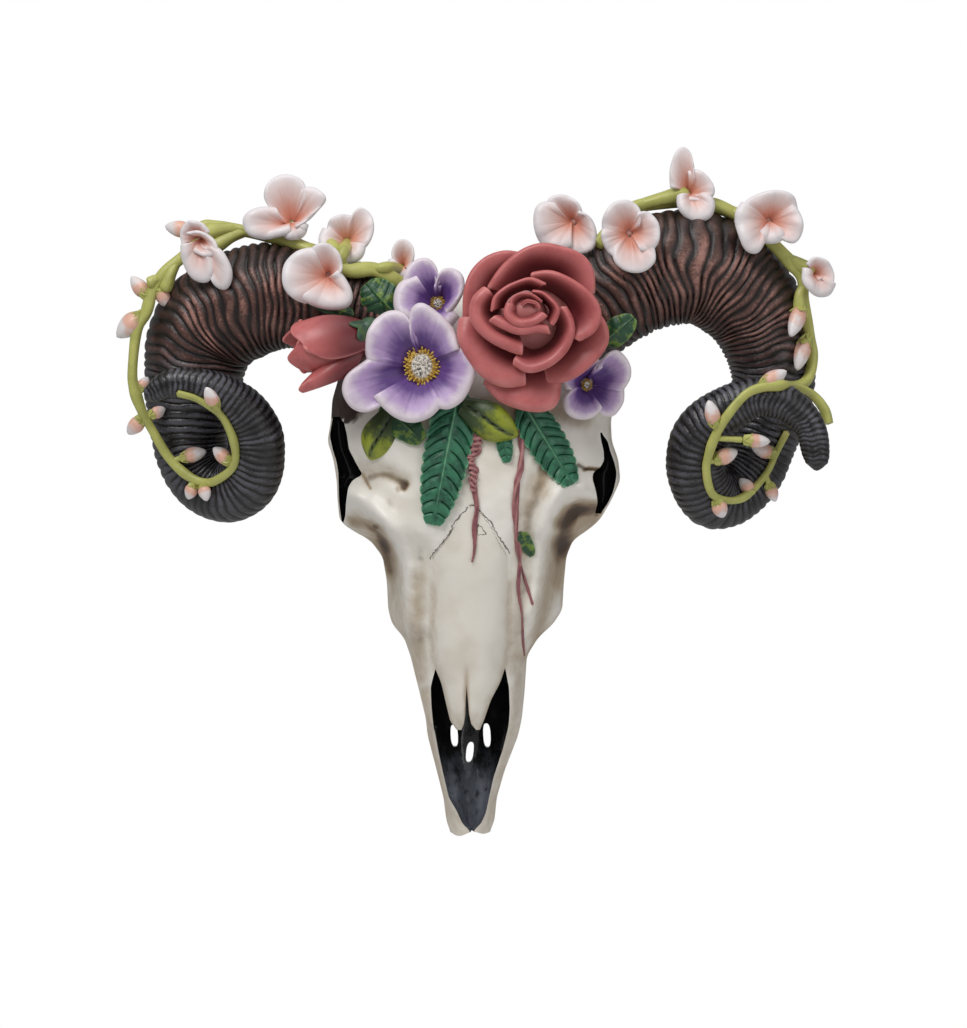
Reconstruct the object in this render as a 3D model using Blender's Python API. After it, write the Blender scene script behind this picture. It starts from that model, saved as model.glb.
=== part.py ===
"""Painted resin wall ornament: a ram skull with two curled horns under a wreath of flowers.

Sizes are in millimetres and become metres when a mesh is made. X runs to the viewer's right, Z up, and
depth is measured from the wall towards the viewer, which is -Y. The origin lies on the flat back of the
skull, on the plane of the wall.
"""

import math

import bmesh
import bpy
from mathutils import Matrix, Vector
from mathutils.bvhtree import BVHTree

MM = 0.001
GAP = 0.3
CLEARANCE = 0.5

# Skull: height, half width of the outline
SKULL_OUTLINE = [
    (68, 18), (64, 32), (56, 45), (40, 56), (15, 62), (-10, 61.5), (-28, 58), (-38, 45), (-47, 40),
    (-57, 38.5), (-70, 38), (-76, 35), (-83, 28), (-91, 25.5), (-105, 23), (-117, 20.8),
    (-125, 19.7), (-140, 14.8), (-152, 11.7), (-164, 10.2), (-168, 8),
]
# Skull: height, depth of the crown of the face
SKULL_CROWN = [
    (68, 38), (64, 47), (56, 58), (40, 67), (15, 73), (-10, 75), (-28, 74), (-47, 70), (-65, 64),
    (-91, 56), (-117, 48), (-140, 39), (-164, 29), (-168, 25),
]
# Skull: height, depth of the rim where the face turns back to the wall
SKULL_RIM = [
    (68, 22), (40, 32), (-10, 38), (-38, 30), (-57, 22), (-76, 17), (-91, 20), (-117, 21), (-168, 12),
]
SKULL_LEAN = math.radians(1.1)
LEAN_PIVOT = -65
FACE_POWER = 3.2
FACE_COLUMNS = 9
FACE_STEP = 8
JAW_TOP = -78

# Orbits: side, height of the middle, half height, half width
ORBITS = [(-54, -9.5, 20, 6), (56, -10, 18, 6)]
ORBIT_DEPTH = 46
ORBIT_REACH = 23
ORBIT_FACETS = (10, 8)

# Nasal bones: height, half width; their middle line lies a little to the left
NASAL_OUTLINE = [(-24, 1.5), (-34, 9.5), (-46, 17), (-60, 16.8), (-86, 16.6), (-95, 15.6),
                 (-101, 12.7), (-108, 9.8), (-117, 7.4), (-121, 6)]
NASAL_MIDDLE = -2.2
NASAL_RISE = 1.4
NASAL_BOW = 2.2
NASAL_THICKNESS = 5
NASAL_COLUMNS = 4
BED_MARGIN = 0.4
BED_PROUD = 12
# The slit that parts the tips of the nasal bones
SLIT_SIDE = -3.4
SLIT_TOP = -91
SLIT_FOOT = -116
SLIT_END = -124
SLIT_HALF_WIDTHS = (0.3, 0.7, 4)
SLIT_DEPTHS = (20, 90)

# Nasal cavity: height, middle, half width
CAVITY = [(-89, -2, 12), (-96, -2, 15.4), (-112, -2.1, 17.2), (-124, -2.5, 16.2), (-138, -3, 12.6),
          (-150, -3.2, 9.4), (-158, -2.2, 6.4), (-163, -1.5, 3)]
CAVITY_FLOOR = 8
CAVITY_MOUTH = 70
CAVITY_SIDES = 12
CAVITY_SQUARENESS = 0.8
# Slots through the floor of the cavity: side, height, half height
SLOTS = [(-9.3, -124.5, 4.8), (-2.2, -132, 4.6), (4.7, -124.5, 5)]
SLOT_HALF_WIDTH = 1.6
SLOT_DEPTHS = (-5, 20)
# The notch between the lobes at the foot of the snout, as (side, height)
LIP_NOTCH = [(-4.4, -170), (0.4, -170), (-1.4, -163.5)]
LIP_NOTCH_DEPTHS = (-5, 60)

# Horns: side, depth, height, radius, from the skull to the tip
HORN_LEFT = [
    (-26, 42, 52, 20), (-56, 42, 60.5, 22.5), (-77, 41, 66.5, 22.5), (-97, 37, 65, 24.3),
    (-117, 29, 53, 24), (-123, 23, 32, 21.5), (-124.5, 20.5, 10, 17.6), (-122, 21, -5, 15.6),
    (-116, 24.5, -14, 14.5), (-107, 30.5, -17.5, 13.8), (-98.5, 37, -13, 13.2), (-95, 43, -3, 12.7),
    (-95.5, 48, 8, 12), (-102, 53, 18.5, 10.4), (-115, 57.5, 26.5, 8), (-130, 58, 28.5, 6.6),
    (-138.5, 56, 24.5, 4.6), (-142, 55, 21.5, 2.6),
]
HORN_RIGHT = [
    (20, 42, 50, 20), (47.5, 42, 60.5, 22.5), (71, 41, 75, 24.3), (97, 37, 79.5, 24.8),
    (118.8, 29, 65, 22.5), (128.5, 23.5, 44, 19.5), (130, 19.5, 23.8, 17.5), (125.5, 19, 5, 15.4),
    (120.5, 21, -9, 14.2), (112, 26, -18.5, 13.6), (103, 33.5, -20.5, 13.2), (96.8, 41, -12, 13),
    (95.6, 46.5, -1, 12.8), (99, 50.5, 8.6, 12.2), (108.5, 54, 17, 10.6), (121, 55, 22.5, 8.6),
    (134, 55, 20.3, 7.8), (144, 54, 10.8, 6.8), (147.2, 53, -1.5, 6), (147.5, 53, -9, 3.4),
]
HORN_STATIONS = 60
HORN_SIDES = 11
HORN_FLATNESS = 0.88
RIDGE_RISE = 0.028
HORN_LENGTHS = [("base", 0, 12), ("arch", 12, 26), ("drop", 26, 38), ("curl", 38, 49), ("tip", 49, 60)]

PETAL_THICKNESS = 1.3
PETAL_ROWS = (0, 0.38, 0.74, 1)
LEAF_THICKNESS = 1.2
LEAF_SINK = 3


def lookup(table, height):
    """Read a table of (height, value) rows, which runs downwards, at one height."""
    if height >= table[0][0]:
        return table[0][1]
    for (upper, first), (lower, second) in zip(table, table[1:]):
        if height >= lower:
            share = (upper - height) / (upper - lower)
            return first + (second - first) * share
    return table[-1][1]


def middle_at(height):
    """Side of the skull's middle line, which leans a little."""
    return (height - LEAN_PIVOT) * math.tan(SKULL_LEAN)


def face_depth(side, height):
    """Depth of the skull's front surface, without the openings."""
    half = lookup(SKULL_OUTLINE, height)
    across = min(1.0, abs(side - middle_at(height)) / half)
    crown = lookup(SKULL_CROWN, height)
    rim = lookup(SKULL_RIM, height)
    return rim + (crown - rim) * (1 - across ** FACE_POWER)


def smooth_route(points, count):
    """Even samples along a Catmull-Rom curve; a point may carry more values than its place."""
    padded = [points[0]] + list(points) + [points[-1]]
    dense = []
    steps = 24
    for index in range(len(points) - 1):
        a, b, c, d = padded[index:index + 4]
        for step in range(steps):
            t = step / steps
            dense.append([
                0.5 * (2 * q + (r - p) * t + (2 * p - 5 * q + 4 * r - s) * t * t
                       + (3 * q - p - 3 * r + s) * t ** 3)
                for p, q, r, s in zip(a, b, c, d)
            ])
    dense.append(list(points[-1]))
    reach = [0.0]
    for first, second in zip(dense, dense[1:]):
        reach.append(reach[-1] + math.dist(first[:3], second[:3]))
    samples = []
    cursor = 0
    for index in range(count):
        target = reach[-1] * index / (count - 1)
        while cursor < len(dense) - 2 and reach[cursor + 1] < target:
            cursor += 1
        span = reach[cursor + 1] - reach[cursor]
        share = (target - reach[cursor]) / span if span else 0
        samples.append([p + (q - p) * share for p, q in zip(dense[cursor], dense[cursor + 1])])
    return samples


def world(side, depth, height):
    """A place in millimetres, with depth towards the viewer, as X, Y, Z."""
    return Vector((side, -depth, height))


def make_material(name, colour, roughness, metallic=0.0):
    material = bpy.data.materials.new(name)
    material.use_nodes = True
    shader = material.node_tree.nodes["Principled BSDF"]
    shader.inputs["Base Color"].default_value = (*colour, 1)
    shader.inputs["Roughness"].default_value = roughness
    shader.inputs["Metallic"].default_value = metallic
    return material


def make_object(name, verts, faces, material=None):
    """A mesh object from places in millimetres, with its faces turned outwards."""
    mesh = bpy.data.meshes.new(name)
    mesh.from_pydata([Vector(v) * MM for v in verts], [], faces)
    shape = bmesh.new()
    shape.from_mesh(mesh)
    bmesh.ops.recalc_face_normals(shape, faces=shape.faces)
    shape.to_mesh(mesh)
    shape.free()
    if material:
        mesh.materials.append(material)
    mesh.shade_smooth()
    mesh.set_sharp_from_angle(angle=math.radians(40))
    made = bpy.data.objects.new(name, mesh)
    bpy.context.scene.collection.objects.link(made)
    return made


def loft(rings, pointed=False):
    """Vertices and faces of closed rings joined one to the next, with flat ends or a point."""
    count = len(rings[0])
    verts = [point for ring in rings for point in ring]
    faces = []
    for row in range(len(rings) - 1):
        start = row * count
        for column in range(count):
            following = (column + 1) % count
            a, b = start + column, start + following
            faces += [(a, b, b + count), (a, b + count, a + count)]
    faces.append(tuple(range(count)))
    last = len(verts) - count
    if pointed:
        tip = sum((Vector(p) for p in rings[-1]), Vector()) / count
        verts.append(tip)
        faces += [(last + i, last + (i + 1) % count, len(verts) - 1) for i in range(count)]
    else:
        faces.append(tuple(range(last, last + count)))
    return verts, faces


def route_frames(samples):
    """Centre, side axis and front axis of each sample (side, depth, height, radius) of a route."""
    centres = [world(*sample[:3]) for sample in samples]
    frames = []
    for index, centre in enumerate(centres):
        before = centres[max(0, index - 1)]
        after = centres[min(len(centres) - 1, index + 1)]
        along = (after - before).normalized()
        front = Vector((0, -1, 0))
        front = (front - along * front.dot(along)).normalized()
        frames.append((centre, along, along.cross(front), front))
    return frames


def tube_rings(samples, sides, flatness=1.0, radius_at=None):
    rings = []
    for index, (sample, frame) in enumerate(zip(samples, route_frames(samples))):
        centre, along, across, front = frame
        radius = sample[3] * (radius_at(index) if radius_at else 1)
        rings.append([
            centre + across * (radius * math.cos(turn)) + front * (radius * flatness * math.sin(turn))
            for turn in (2 * math.pi * side / sides for side in range(sides))
        ])
    return rings


def plate(length, half_width_at, rise_at, rows, columns, thickness):
    """A thin closed plate that grows along +Y from its root and faces +Z, alike on both faces."""
    verts = []
    for layer in (0.5, -0.5):
        for row in rows:
            for column in range(columns + 1):
                s = 2 * column / columns - 1
                taper = 0.55 + 0.45 * (1 - abs(s)) * (1 - 0.5 * row)
                verts.append(Vector((
                    half_width_at(row) * s,
                    length * row,
                    rise_at(s, row) + layer * thickness * taper,
                )))
    wide = columns + 1
    layer_size = wide * len(rows)
    faces = []
    for row in range(len(rows) - 1):
        for column in range(columns):
            a = row * wide + column
            b, c, d = a + 1, a + wide + 1, a + wide
            corners = ((a, b, c), (a, c, d)) if column < columns / 2 else ((a, b, d), (b, c, d))
            for corner in corners:
                faces.append(corner)
                faces.append(tuple(layer_size + index for index in reversed(corner)))
    rim = [column for column in range(wide)]
    rim += [row * wide + columns for row in range(1, len(rows))]
    rim += [(len(rows) - 1) * wide + column for column in range(columns - 1, -1, -1)]
    rim += [row * wide for row in range(len(rows) - 2, 0, -1)]
    for first, second in zip(rim, rim[1:] + rim[:1]):
        faces += [(first, layer_size + first, layer_size + second), (first, layer_size + second, second)]
    return verts, faces


def petal(length, width, cup=2.0, roll=2.0, columns=2, root=0.32, point=0.0):
    """One petal: narrow at its root, cupped along its middle, its rim rolled back."""
    def half_width(row):
        swell = root + (1 - root) * math.sin(math.pi / 2 * min(1, row / 0.7))
        close = math.sqrt(max(0.12 - 0.1 * point, 1 - row ** (5 - 3 * point)))
        return width / 2 * swell * close

    def rise(s, row):
        return cup * s * s * row - roll * row ** 3

    return plate(length, half_width, rise, PETAL_ROWS, columns, PETAL_THICKNESS)


def facing(yaw=0.0, pitch=0.0, roll=0.0):
    """Turn for a flower that looks at the viewer, then yaws to the right and pitches up."""
    front = Matrix(((1, 0, 0), (0, 0, -1), (0, 1, 0))).to_4x4()
    turn = Matrix.Rotation(math.radians(yaw), 4, "Z") @ Matrix.Rotation(math.radians(-pitch), 4, "X")
    return turn @ front @ Matrix.Rotation(math.radians(roll), 4, "Z")


def moved(shape, matrix):
    verts, faces = shape
    return [matrix @ Vector(v) for v in verts], faces


def ball(centre, radii, segments=8, rings=5, matrix=None):
    """A closed ball of separate radii, in its own axes."""
    verts = [Vector((0, 0, radii[2]))]
    for ring in range(1, rings):
        tilt = math.pi * ring / rings
        for segment in range(segments):
            turn = 2 * math.pi * segment / segments
            verts.append(Vector((
                radii[0] * math.sin(tilt) * math.cos(turn),
                radii[1] * math.sin(tilt) * math.sin(turn),
                radii[2] * math.cos(tilt),
            )))
    verts.append(Vector((0, 0, -radii[2])))
    faces = [(0, 1 + s, 1 + (s + 1) % segments) for s in range(segments)]
    for ring in range(rings - 2):
        start = 1 + ring * segments
        for s in range(segments):
            a, b = start + s, start + (s + 1) % segments
            faces += [(a, a + segments, b + segments), (a, b + segments, b)]
    last = len(verts) - 1
    start = last - segments
    faces += [(last, start + (s + 1) % segments, start + s) for s in range(segments)]
    turn = matrix or Matrix.Identity(4)
    return [turn @ v + Vector(centre) for v in verts], faces


def apply_boolean(target, operation, operand=None, collection=None):
    """Apply one Boolean and keep the largest surface, with MANIFOLD where EXACT leaves a hole."""
    old = target.data
    for solver in ("EXACT", "MANIFOLD"):
        modifier = target.modifiers.new("Boolean", "BOOLEAN")
        modifier.operation = operation
        modifier.solver = solver
        if collection:
            modifier.operand_type = "COLLECTION"
            modifier.collection = collection
        else:
            modifier.object = operand
        graph = bpy.context.evaluated_depsgraph_get()
        result = bpy.data.meshes.new_from_object(target.evaluated_get(graph))
        target.modifiers.clear()
        keep_largest(result)
        if is_closed(result):
            break
    target.data = result
    bpy.data.meshes.remove(old)


def is_closed(mesh):
    shape = bmesh.new()
    shape.from_mesh(mesh)
    closed = len(shape.faces) > 0 and all(edge.is_manifold for edge in shape.edges)
    closed = closed and all(vert.is_manifold for vert in shape.verts)
    shape.free()
    return closed


def keep_largest(mesh):
    """Keep only the largest closed surface of a mesh."""
    shape = bmesh.new()
    shape.from_mesh(mesh)
    bmesh.ops.remove_doubles(shape, verts=shape.verts, dist=0.00001)
    bmesh.ops.triangulate(shape, faces=shape.faces)
    shape.faces.ensure_lookup_table()
    unseen = set(shape.faces)
    groups = []
    while unseen:
        stack = [unseen.pop()]
        group = []
        while stack:
            face = stack.pop()
            group.append(face)
            for edge in face.edges:
                for other in edge.link_faces:
                    if other in unseen:
                        unseen.discard(other)
                        stack.append(other)
        groups.append(group)

    def volume(group):
        total = 0
        for face in group:
            a, b, c = (v.co for v in face.verts)
            total += a.dot(b.cross(c)) / 6
        return total

    groups.sort(key=lambda group: -volume(group))
    scraps = [face for group in groups[1:] for face in group]
    if scraps:
        bmesh.ops.delete(shape, geom=scraps, context="FACES")
    shape.to_mesh(mesh)
    shape.free()


def fuse(name, pieces, material):
    """Join closed pieces, as vertices and faces, into one closed node."""
    base = make_object(name, *pieces[0], material)
    if len(pieces) > 1:
        group = bpy.data.collections.new(name + "_pieces")
        bpy.context.scene.collection.children.link(group)
        others = []
        for index, piece in enumerate(pieces[1:]):
            other = make_object(f"{name}_piece_{index}", *piece)
            bpy.context.scene.collection.objects.unlink(other)
            group.objects.link(other)
            others.append(other)
        apply_boolean(base, "UNION", collection=group)
        for other in others:
            bpy.data.meshes.remove(other.data)
        bpy.data.collections.remove(group)
    finish(base, material)
    return base


def finish(target, material):
    target.data.materials.clear()
    target.data.materials.append(material)
    target.data.shade_smooth()
    target.data.set_sharp_from_angle(angle=math.radians(40))


def swollen(source, by):
    """A copy of a node, grown outwards, that cuts its neighbours clear."""
    mesh = source.data.copy()
    shape = bmesh.new()
    shape.from_mesh(mesh)
    shape.normal_update()
    offsets = [vert.normal * by * MM for vert in shape.verts]
    for vert, offset in zip(shape.verts, offsets):
        vert.co += offset
    shape.to_mesh(mesh)
    shape.free()
    made = bpy.data.objects.new(source.name + "_clearance", mesh)
    bpy.context.scene.collection.objects.link(made)
    return made


def tree_of(target):
    shape = bmesh.new()
    shape.from_mesh(target.data)
    tree = BVHTree.FromBMesh(shape)
    shape.free()
    return tree


def clear_of(target, neighbours, by=CLEARANCE):
    """Cut a node clear of the neighbours that it touches."""
    for neighbour in neighbours:
        cutter = swollen(neighbour, by)
        if tree_of(target).overlap(tree_of(cutter)):
            apply_boolean(target, "DIFFERENCE", operand=cutter)
        bpy.data.meshes.remove(cutter.data)
    material = target.data.materials[0]
    finish(target, material)


def cut(target, shapes):
    for index, shape in enumerate(shapes):
        cutter = make_object(f"{target.name}_cutter_{index}", *shape)
        apply_boolean(target, "DIFFERENCE", operand=cutter)
        bpy.data.meshes.remove(cutter.data)


def skull_section(height):
    """One closed section of the skull: across the front from left to right, then the flat back."""
    half = lookup(SKULL_OUTLINE, height)
    middle = middle_at(height)
    sides = []
    for column in range(-FACE_COLUMNS, FACE_COLUMNS + 1):
        share = column / FACE_COLUMNS
        spread = math.copysign(1 - (1 - abs(share)) ** 1.5, share)
        sides.append(middle + half * spread)
    ring = [world(sides[0], 0, height)]
    ring += [world(side, face_depth(side, height), height) for side in sides]
    ring.append(world(sides[-1], 0, height))
    return ring


def heights_between(top, bottom):
    """Even heights from top to bottom, with the outline's own heights among them."""
    marks = [top] + [h for h, _ in SKULL_OUTLINE if bottom + 1 < h < top - 1] + [bottom]
    heights = []
    for upper, lower in zip(marks, marks[1:]):
        parts = max(1, round((upper - lower) / FACE_STEP))
        heights += [upper - (upper - lower) * i / parts for i in range(parts)]
    return heights + [bottom]


def build_skull(bone):
    nasal = build_nasal(bone)
    pieces = []
    for name, top, bottom in (
        ("cranium", SKULL_OUTLINE[0][0], JAW_TOP + GAP / 2),
        ("upper_jaw", JAW_TOP - GAP / 2, SKULL_OUTLINE[-1][0]),
    ):
        rings = [skull_section(height) for height in heights_between(top, bottom)]
        pieces.append(make_object(name, *loft(rings), bone))
    cranium, jaw = pieces
    bed = loft(nasal_rings(BED_MARGIN, BED_PROUD))
    cut(cranium, [orbit_cutter(*orbit) for orbit in ORBITS] + [bed])
    cut(jaw, [bed, cavity_cutter()] + [slot_cutter(*slot) for slot in SLOTS] + [lip_notch_cutter()])
    for piece in pieces:
        finish(piece, bone)
    return [cranium, jaw, nasal]


def orbit_cutter(side, height, half_height, half_width):
    return ball(world(side, ORBIT_DEPTH, height), (half_width, ORBIT_REACH, half_height), *ORBIT_FACETS)


def cavity_cutter():
    rings = []
    reach = CAVITY_MOUTH - CAVITY_FLOOR
    for height, middle, half in CAVITY:
        ring = []
        for step in range(CAVITY_SIDES):
            turn = 2 * math.pi * step / CAVITY_SIDES
            shape = abs(math.sin(turn)) ** CAVITY_SQUARENESS
            ring.append(world(
                middle + half * math.cos(turn),
                CAVITY_MOUTH - math.copysign(reach * shape, math.sin(turn)),
                height,
            ))
        rings.append(ring)
    return loft(rings)


def slot_cutter(side, height, half_height):
    rings = []
    for depth in SLOT_DEPTHS:
        ring = []
        for step in range(8):
            turn = 2 * math.pi * step / 8
            ring.append(world(
                side + SLOT_HALF_WIDTH * math.cos(turn),
                depth,
                height + half_height * math.sin(turn),
            ))
        rings.append(ring)
    return loft(rings)


def lip_notch_cutter():
    """The notch between the two lobes at the foot of the snout."""
    rings = [[world(side, depth, height) for side, height in LIP_NOTCH] for depth in LIP_NOTCH_DEPTHS]
    return loft(rings)


def nasal_top(side, height):
    half = lookup(NASAL_OUTLINE, height)
    across = (side - NASAL_MIDDLE) / half
    crown = lookup(SKULL_CROWN, height) + NASAL_RISE
    return crown - NASAL_BOW * across * across


def nasal_rings(margin=0.0, proud=0.0):
    """Rings down the nasal shield, wider and deeper by a margin for the bed that it lies in."""
    heights = [NASAL_OUTLINE[0][0] + margin]
    for (upper, _), (lower, _) in zip(NASAL_OUTLINE, NASAL_OUTLINE[1:]):
        parts = max(1, round((upper - lower) / FACE_STEP))
        heights += [upper - (upper - lower) * i / parts for i in range(parts)]
    heights.append(NASAL_OUTLINE[-1][0] - margin)
    if not margin:
        heights = heights[1:]
    rings = []
    for height in heights:
        half = lookup(NASAL_OUTLINE, height) + margin
        sides = [NASAL_MIDDLE + half * (2 * i / NASAL_COLUMNS - 1) for i in range(NASAL_COLUMNS + 1)]
        front = [world(side, nasal_top(side, height) + proud, height) for side in sides]
        back = [
            world(side, nasal_top(side, height) - NASAL_THICKNESS - margin, height)
            for side in reversed(sides)
        ]
        rings.append(front + back)
    return rings


def build_nasal(bone):
    """The two nasal bones: a shield sunk in the face, which ends in two free prongs."""
    nasal = make_object("nasal_bones", *loft(nasal_rings()), bone)
    half_widths = list(zip(SLIT_HALF_WIDTHS, (SLIT_TOP, SLIT_FOOT, SLIT_END)))
    outline = [(SLIT_SIDE + half, height) for half, height in half_widths]
    outline += [(SLIT_SIDE - half, height) for half, height in reversed(half_widths)]
    wedge = [[world(side, depth, height) for side, height in outline] for depth in SLIT_DEPTHS]
    cut(nasal, [loft(wedge)])
    finish(nasal, bone)
    return nasal


def horn_samples(points):
    return smooth_route(points, HORN_STATIONS + 1)


def horn_depth(samples, side, height):
    """Depth of a horn's front at one place, or None beside it."""
    best = None
    for x, depth, z, radius in samples:
        distance = math.hypot(side - x, height - z)
        if distance < radius:
            front = depth + HORN_FLATNESS * math.sqrt(radius * radius - distance * distance)
            best = front if best is None else max(best, front)
    return best


def build_horn(side_name, points, horn_material):
    samples = horn_samples(points)

    def ridge(index):
        fade = 1 - 0.5 * index / HORN_STATIONS
        return 1 + RIDGE_RISE * fade * (1 if index % 2 == 0 else -1)

    rings = tube_rings(samples, HORN_SIDES, HORN_FLATNESS, ridge)
    frames = route_frames(samples)
    lengths = []
    for length_name, first, last in HORN_LENGTHS:
        stretch = [list(ring) for ring in rings[first:last + 1]]
        if first > 0:
            stretch[0] = [point + frames[first][1] * GAP / 2 for point in stretch[0]]
        if last < HORN_STATIONS:
            stretch[-1] = [point - frames[last][1] * GAP / 2 for point in stretch[-1]]
        shape = loft(stretch, pointed=last == HORN_STATIONS)
        lengths.append(make_object(f"horn_{side_name}_{length_name}", *shape, horn_material))
    return lengths


ROSE_PLACE = (22, 86, 57)
ROSE_RINGS = [
    # petals, first angle, length, width, tilt, cup, roll, root radius
    (6, 8, 25, 31, 24, 3.5, 4.0, 7),
    (5, 30, 19, 24, 50, 3.0, 1.5, 5),
    (3, 0, 12, 15, 76, 2.5, 0.0, 3),
]
ROSE_STALK = (12, 14, 11)
ROSE_FACING = (-4, 4)
# Anemones: name, side, height, depth, heart, yaw, pitch, columns of a petal, then the petals
ANEMONES = {
    "anemone_large": (-23, 36, 84, 7.8, -4, 4, 3, [
        (12, 24, 27, 22), (76, 23, 26, 24), (132, 20, 22, 22), (196, 20, 24, 20), (258, 25, 24, 16),
        (316, 22, 23, 24),
    ]),
    "anemone_top": (-16, 63, 70, 5, -4, 20, 2, [
        (10, 15, 15, 28), (78, 14, 14, 30), (150, 11, 13, 34), (215, 12, 13, 34), (290, 14, 14, 26),
    ]),
    "anemone_right": (49.5, 28, 72, 5, 22, -6, 2, [
        (20, 13, 14, 34), (95, 12, 13, 36), (165, 15, 15, 28), (235, 15, 14, 24), (305, 14, 14, 28),
    ]),
}
ANEMONE_CUP = 2.5
ANEMONE_ROLL = 2.0

# Blossoms: name, side, height, stand off, yaw, pitch, petals as (angle, length, width, tilt)
BLOSSOMS = [
    ("left_1", -80, 97, 3, -8, 22, [(14, 22, 19, 18), (80, 13, 14, 30), (138, 17, 15, 22),
                                    (205, 11, 12, 34), (285, 17, 16, 26)]),
    ("left_2", -115.5, 88, 2, -10, -58, [(0, 12, 12, 38), (72, 15, 13, 44), (144, 16, 14, 40),
                                         (216, 16, 14, 40), (288, 15, 13, 44)]),
    ("left_3", -62.5, 75, 9, 14, 2, [(20, 14, 15, 26), (90, 18, 15, 16), (155, 14, 15, 18),
                                      (222, 13, 14, 26), (300, 12, 14, 30)]),
    ("left_4", -52, 90, 4, 10, 16, [(5, 14, 14, 26), (75, 12, 13, 34), (150, 11, 12, 36), (215, 12, 12, 34),
                                    (290, 12, 13, 30)]),
    ("left_5", -31, 76, 8, 0, 30, [(0, 14, 9, 10), (40, 10, 7, 30), (320, 10, 7, 30)]),
    ("right_1", 41, 97, 8, -12, 10, [(8, 14, 14, 22), (80, 15, 14, 22), (150, 13, 14, 28), (215, 13, 13, 30),
                                    (290, 13, 13, 30)]),
    ("right_2", 64, 91, 10, 8, 4, [(12, 16, 15, 24), (84, 11, 13, 30), (156, 14, 15, 24), (216, 17, 15, 16),
                                  (292, 17, 15, 18)]),
    ("right_3", 95, 115, 0, 20, 50, [(0, 17, 14, 40), (72, 15, 13, 42), (144, 12, 12, 36), (216, 12, 12, 36),
                                    (288, 15, 13, 42)]),
    ("right_4", 124, 98, 5, 14, 10, [(25, 13, 13, 34), (95, 12, 13, 34), (172, 15, 13, 10),
                                    (235, 15, 14, 20), (305, 19, 15, 16)]),
    ("right_5", 145, 76, 0, 50, 0, [(10, 10, 10, 40), (100, 10, 10, 44), (190, 10, 10, 40), (280, 10, 10, 44)]),
]

BLOSSOM_CUP = 2.0
BLOSSOM_ROLL = 2.6
BLOSSOM_ROOT = 2.2
# Radii of a blossom's throat, neck and stalk
BLOSSOM_TUBE = (4.6, 3.2, 2.0)

# Leaves: name, stand off, root and tip as (side, height), width, lobes, bow
LEAVES = [
    ("fern_left", 1.6, (-9.5, 14), (-16.5, -33), 21, 5, 3.5),
    ("fern_right", 1.6, (25, 12), (41, -14), 17, 4, 3),
    ("fern_small", 1.4, (11, 5), (15, -6), 5, 2, 1),
    ("leaf_bud", 5, (-33, 56), (-49, 73), 13, 3, 2),
    ("leaf_rose", 20, (55, 47), (67, 57), 10, 1, 2),
    ("leaf_thin", 3, (-53, 58.5), (-74, 65), 5, 1, 1),
]
# Closed buds: name, stand off, root and tip as (side, height), radius
CLOSED_BUDS = [
    ("bud_brow", 5.5, (-33.5, 17), (-44.5, -4), 5.2),
    ("bud_centre", 6.5, (-5, 18), (16, 6.5), 5.6),
]
# Roots that hang down the face: name, radius, points as (side, height)
ROOTS = [
    ("root_left", 1.6, [(2, 8), (-2, 2), (3, -3), (-1, -9), (1.5, -16), (-0.5, -26), (0.5, -36), (-1, -49)]),
    ("root_right", 1.7, [(18.5, 4), (20, -7), (17.5, -17), (17, -31), (19.5, -43), (20, -51), (18.5, -60),
                         (20.5, -71), (20.8, -82), (21.5, -90)]),
]
VINE_LEFT = [
    (-34, 72), (-46, 78), (-58, 78), (-70, 86), (-86, 94), (-101, 96), (-118, 97), (-126, 86),
    (-135, 76), (-140, 68), (-142.5, 59), (-147, 51), (-148.5, 34), (-147.5, 26), (-145, 17),
    (-140, 8.5), (-133, -3), (-124, -11), (-116, -14), (-108.5, -11.5), (-104, -6), (-103.5, 1),
    (-105.5, 8), (-109.5, 15), (-115.5, 20), (-121, 22.5), (-128.5, 24.5),
]
VINE_RIGHT = [
    (52, 88), (60, 100), (71, 105.5), (89, 108), (101, 106.5), (114, 101.5), (127.5, 90.5), (139, 77),
    (142, 65), (144.5, 52), (145.5, 43), (143, 28), (136.5, 13), (132, 0), (126.5, -8.5), (122.5, -16),
    (116, -20.5), (110, -22), (105, -18.5), (101.5, -12), (101, -1), (104, 7.5), (108.5, 15.5),
    (116, 22), (124.5, 26.5), (133, 27.5), (143, 25), (151, 18.5), (153, 11.5),
]
VINE_RADII = (3.2, 1.5)
VINE_STATIONS = 34
VINE_SIDES = 5
VINE_LIFT = 1.0
# Where neither the skull nor a horn stands behind a vine or flower, it keeps this depth
OPEN_DEPTH = 38
# Shares of a bud's length and its swelling there
BUD_SHAPE = ((0, 0.3), (0.35, 0.5), (0.68, 0.88), (0.92, 0.5))
# Buds along the vines: side, height and radius
BUDS_LEFT = [
    (-145, 70, 5), (-135, 67, 4.5), (-150, 55, 6.5), (-144, 28, 3.5), (-138, 17, 3.5), (-146.5, 11, 4.5),
    (-113.5, 22, 4), (-122.5, -2, 4.5), (-109, -2.5, 4), (-123, -17, 3.2), (-117, -18, 3.2),
]
BUDS_RIGHT = [
    (139, 57, 4.2), (142, 43, 4.2), (127.5, 30, 4), (102, 14.5, 3.8), (107.5, -2.5, 4), (106, -25, 4),
    (118, -15.5, 3.8), (125, -1, 3.8), (129, -18, 3.6),
]
# The half open bud that leans out to the left
ROSE_BUD_PLACE = (-50, 82, 52)
ROSE_BUD_FACING = (-12, -8, 128)
ROSE_BUD_BODY = [(0, 6), (4, 12), (12, 15), (20, 13.5), (27, 8)]
ROSE_BUD_FLATNESS = 0.8
ROSE_BUD_PETALS = [(0, 34, 20, 6), (120, 30, 22, 8), (240, 30, 22, 8)]
CALYX_PLACE = (-47, 82, 55.5)
CALYX_BODY = [(-3, 3), (0, 5.5), (3.4, 6.6)]


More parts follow.
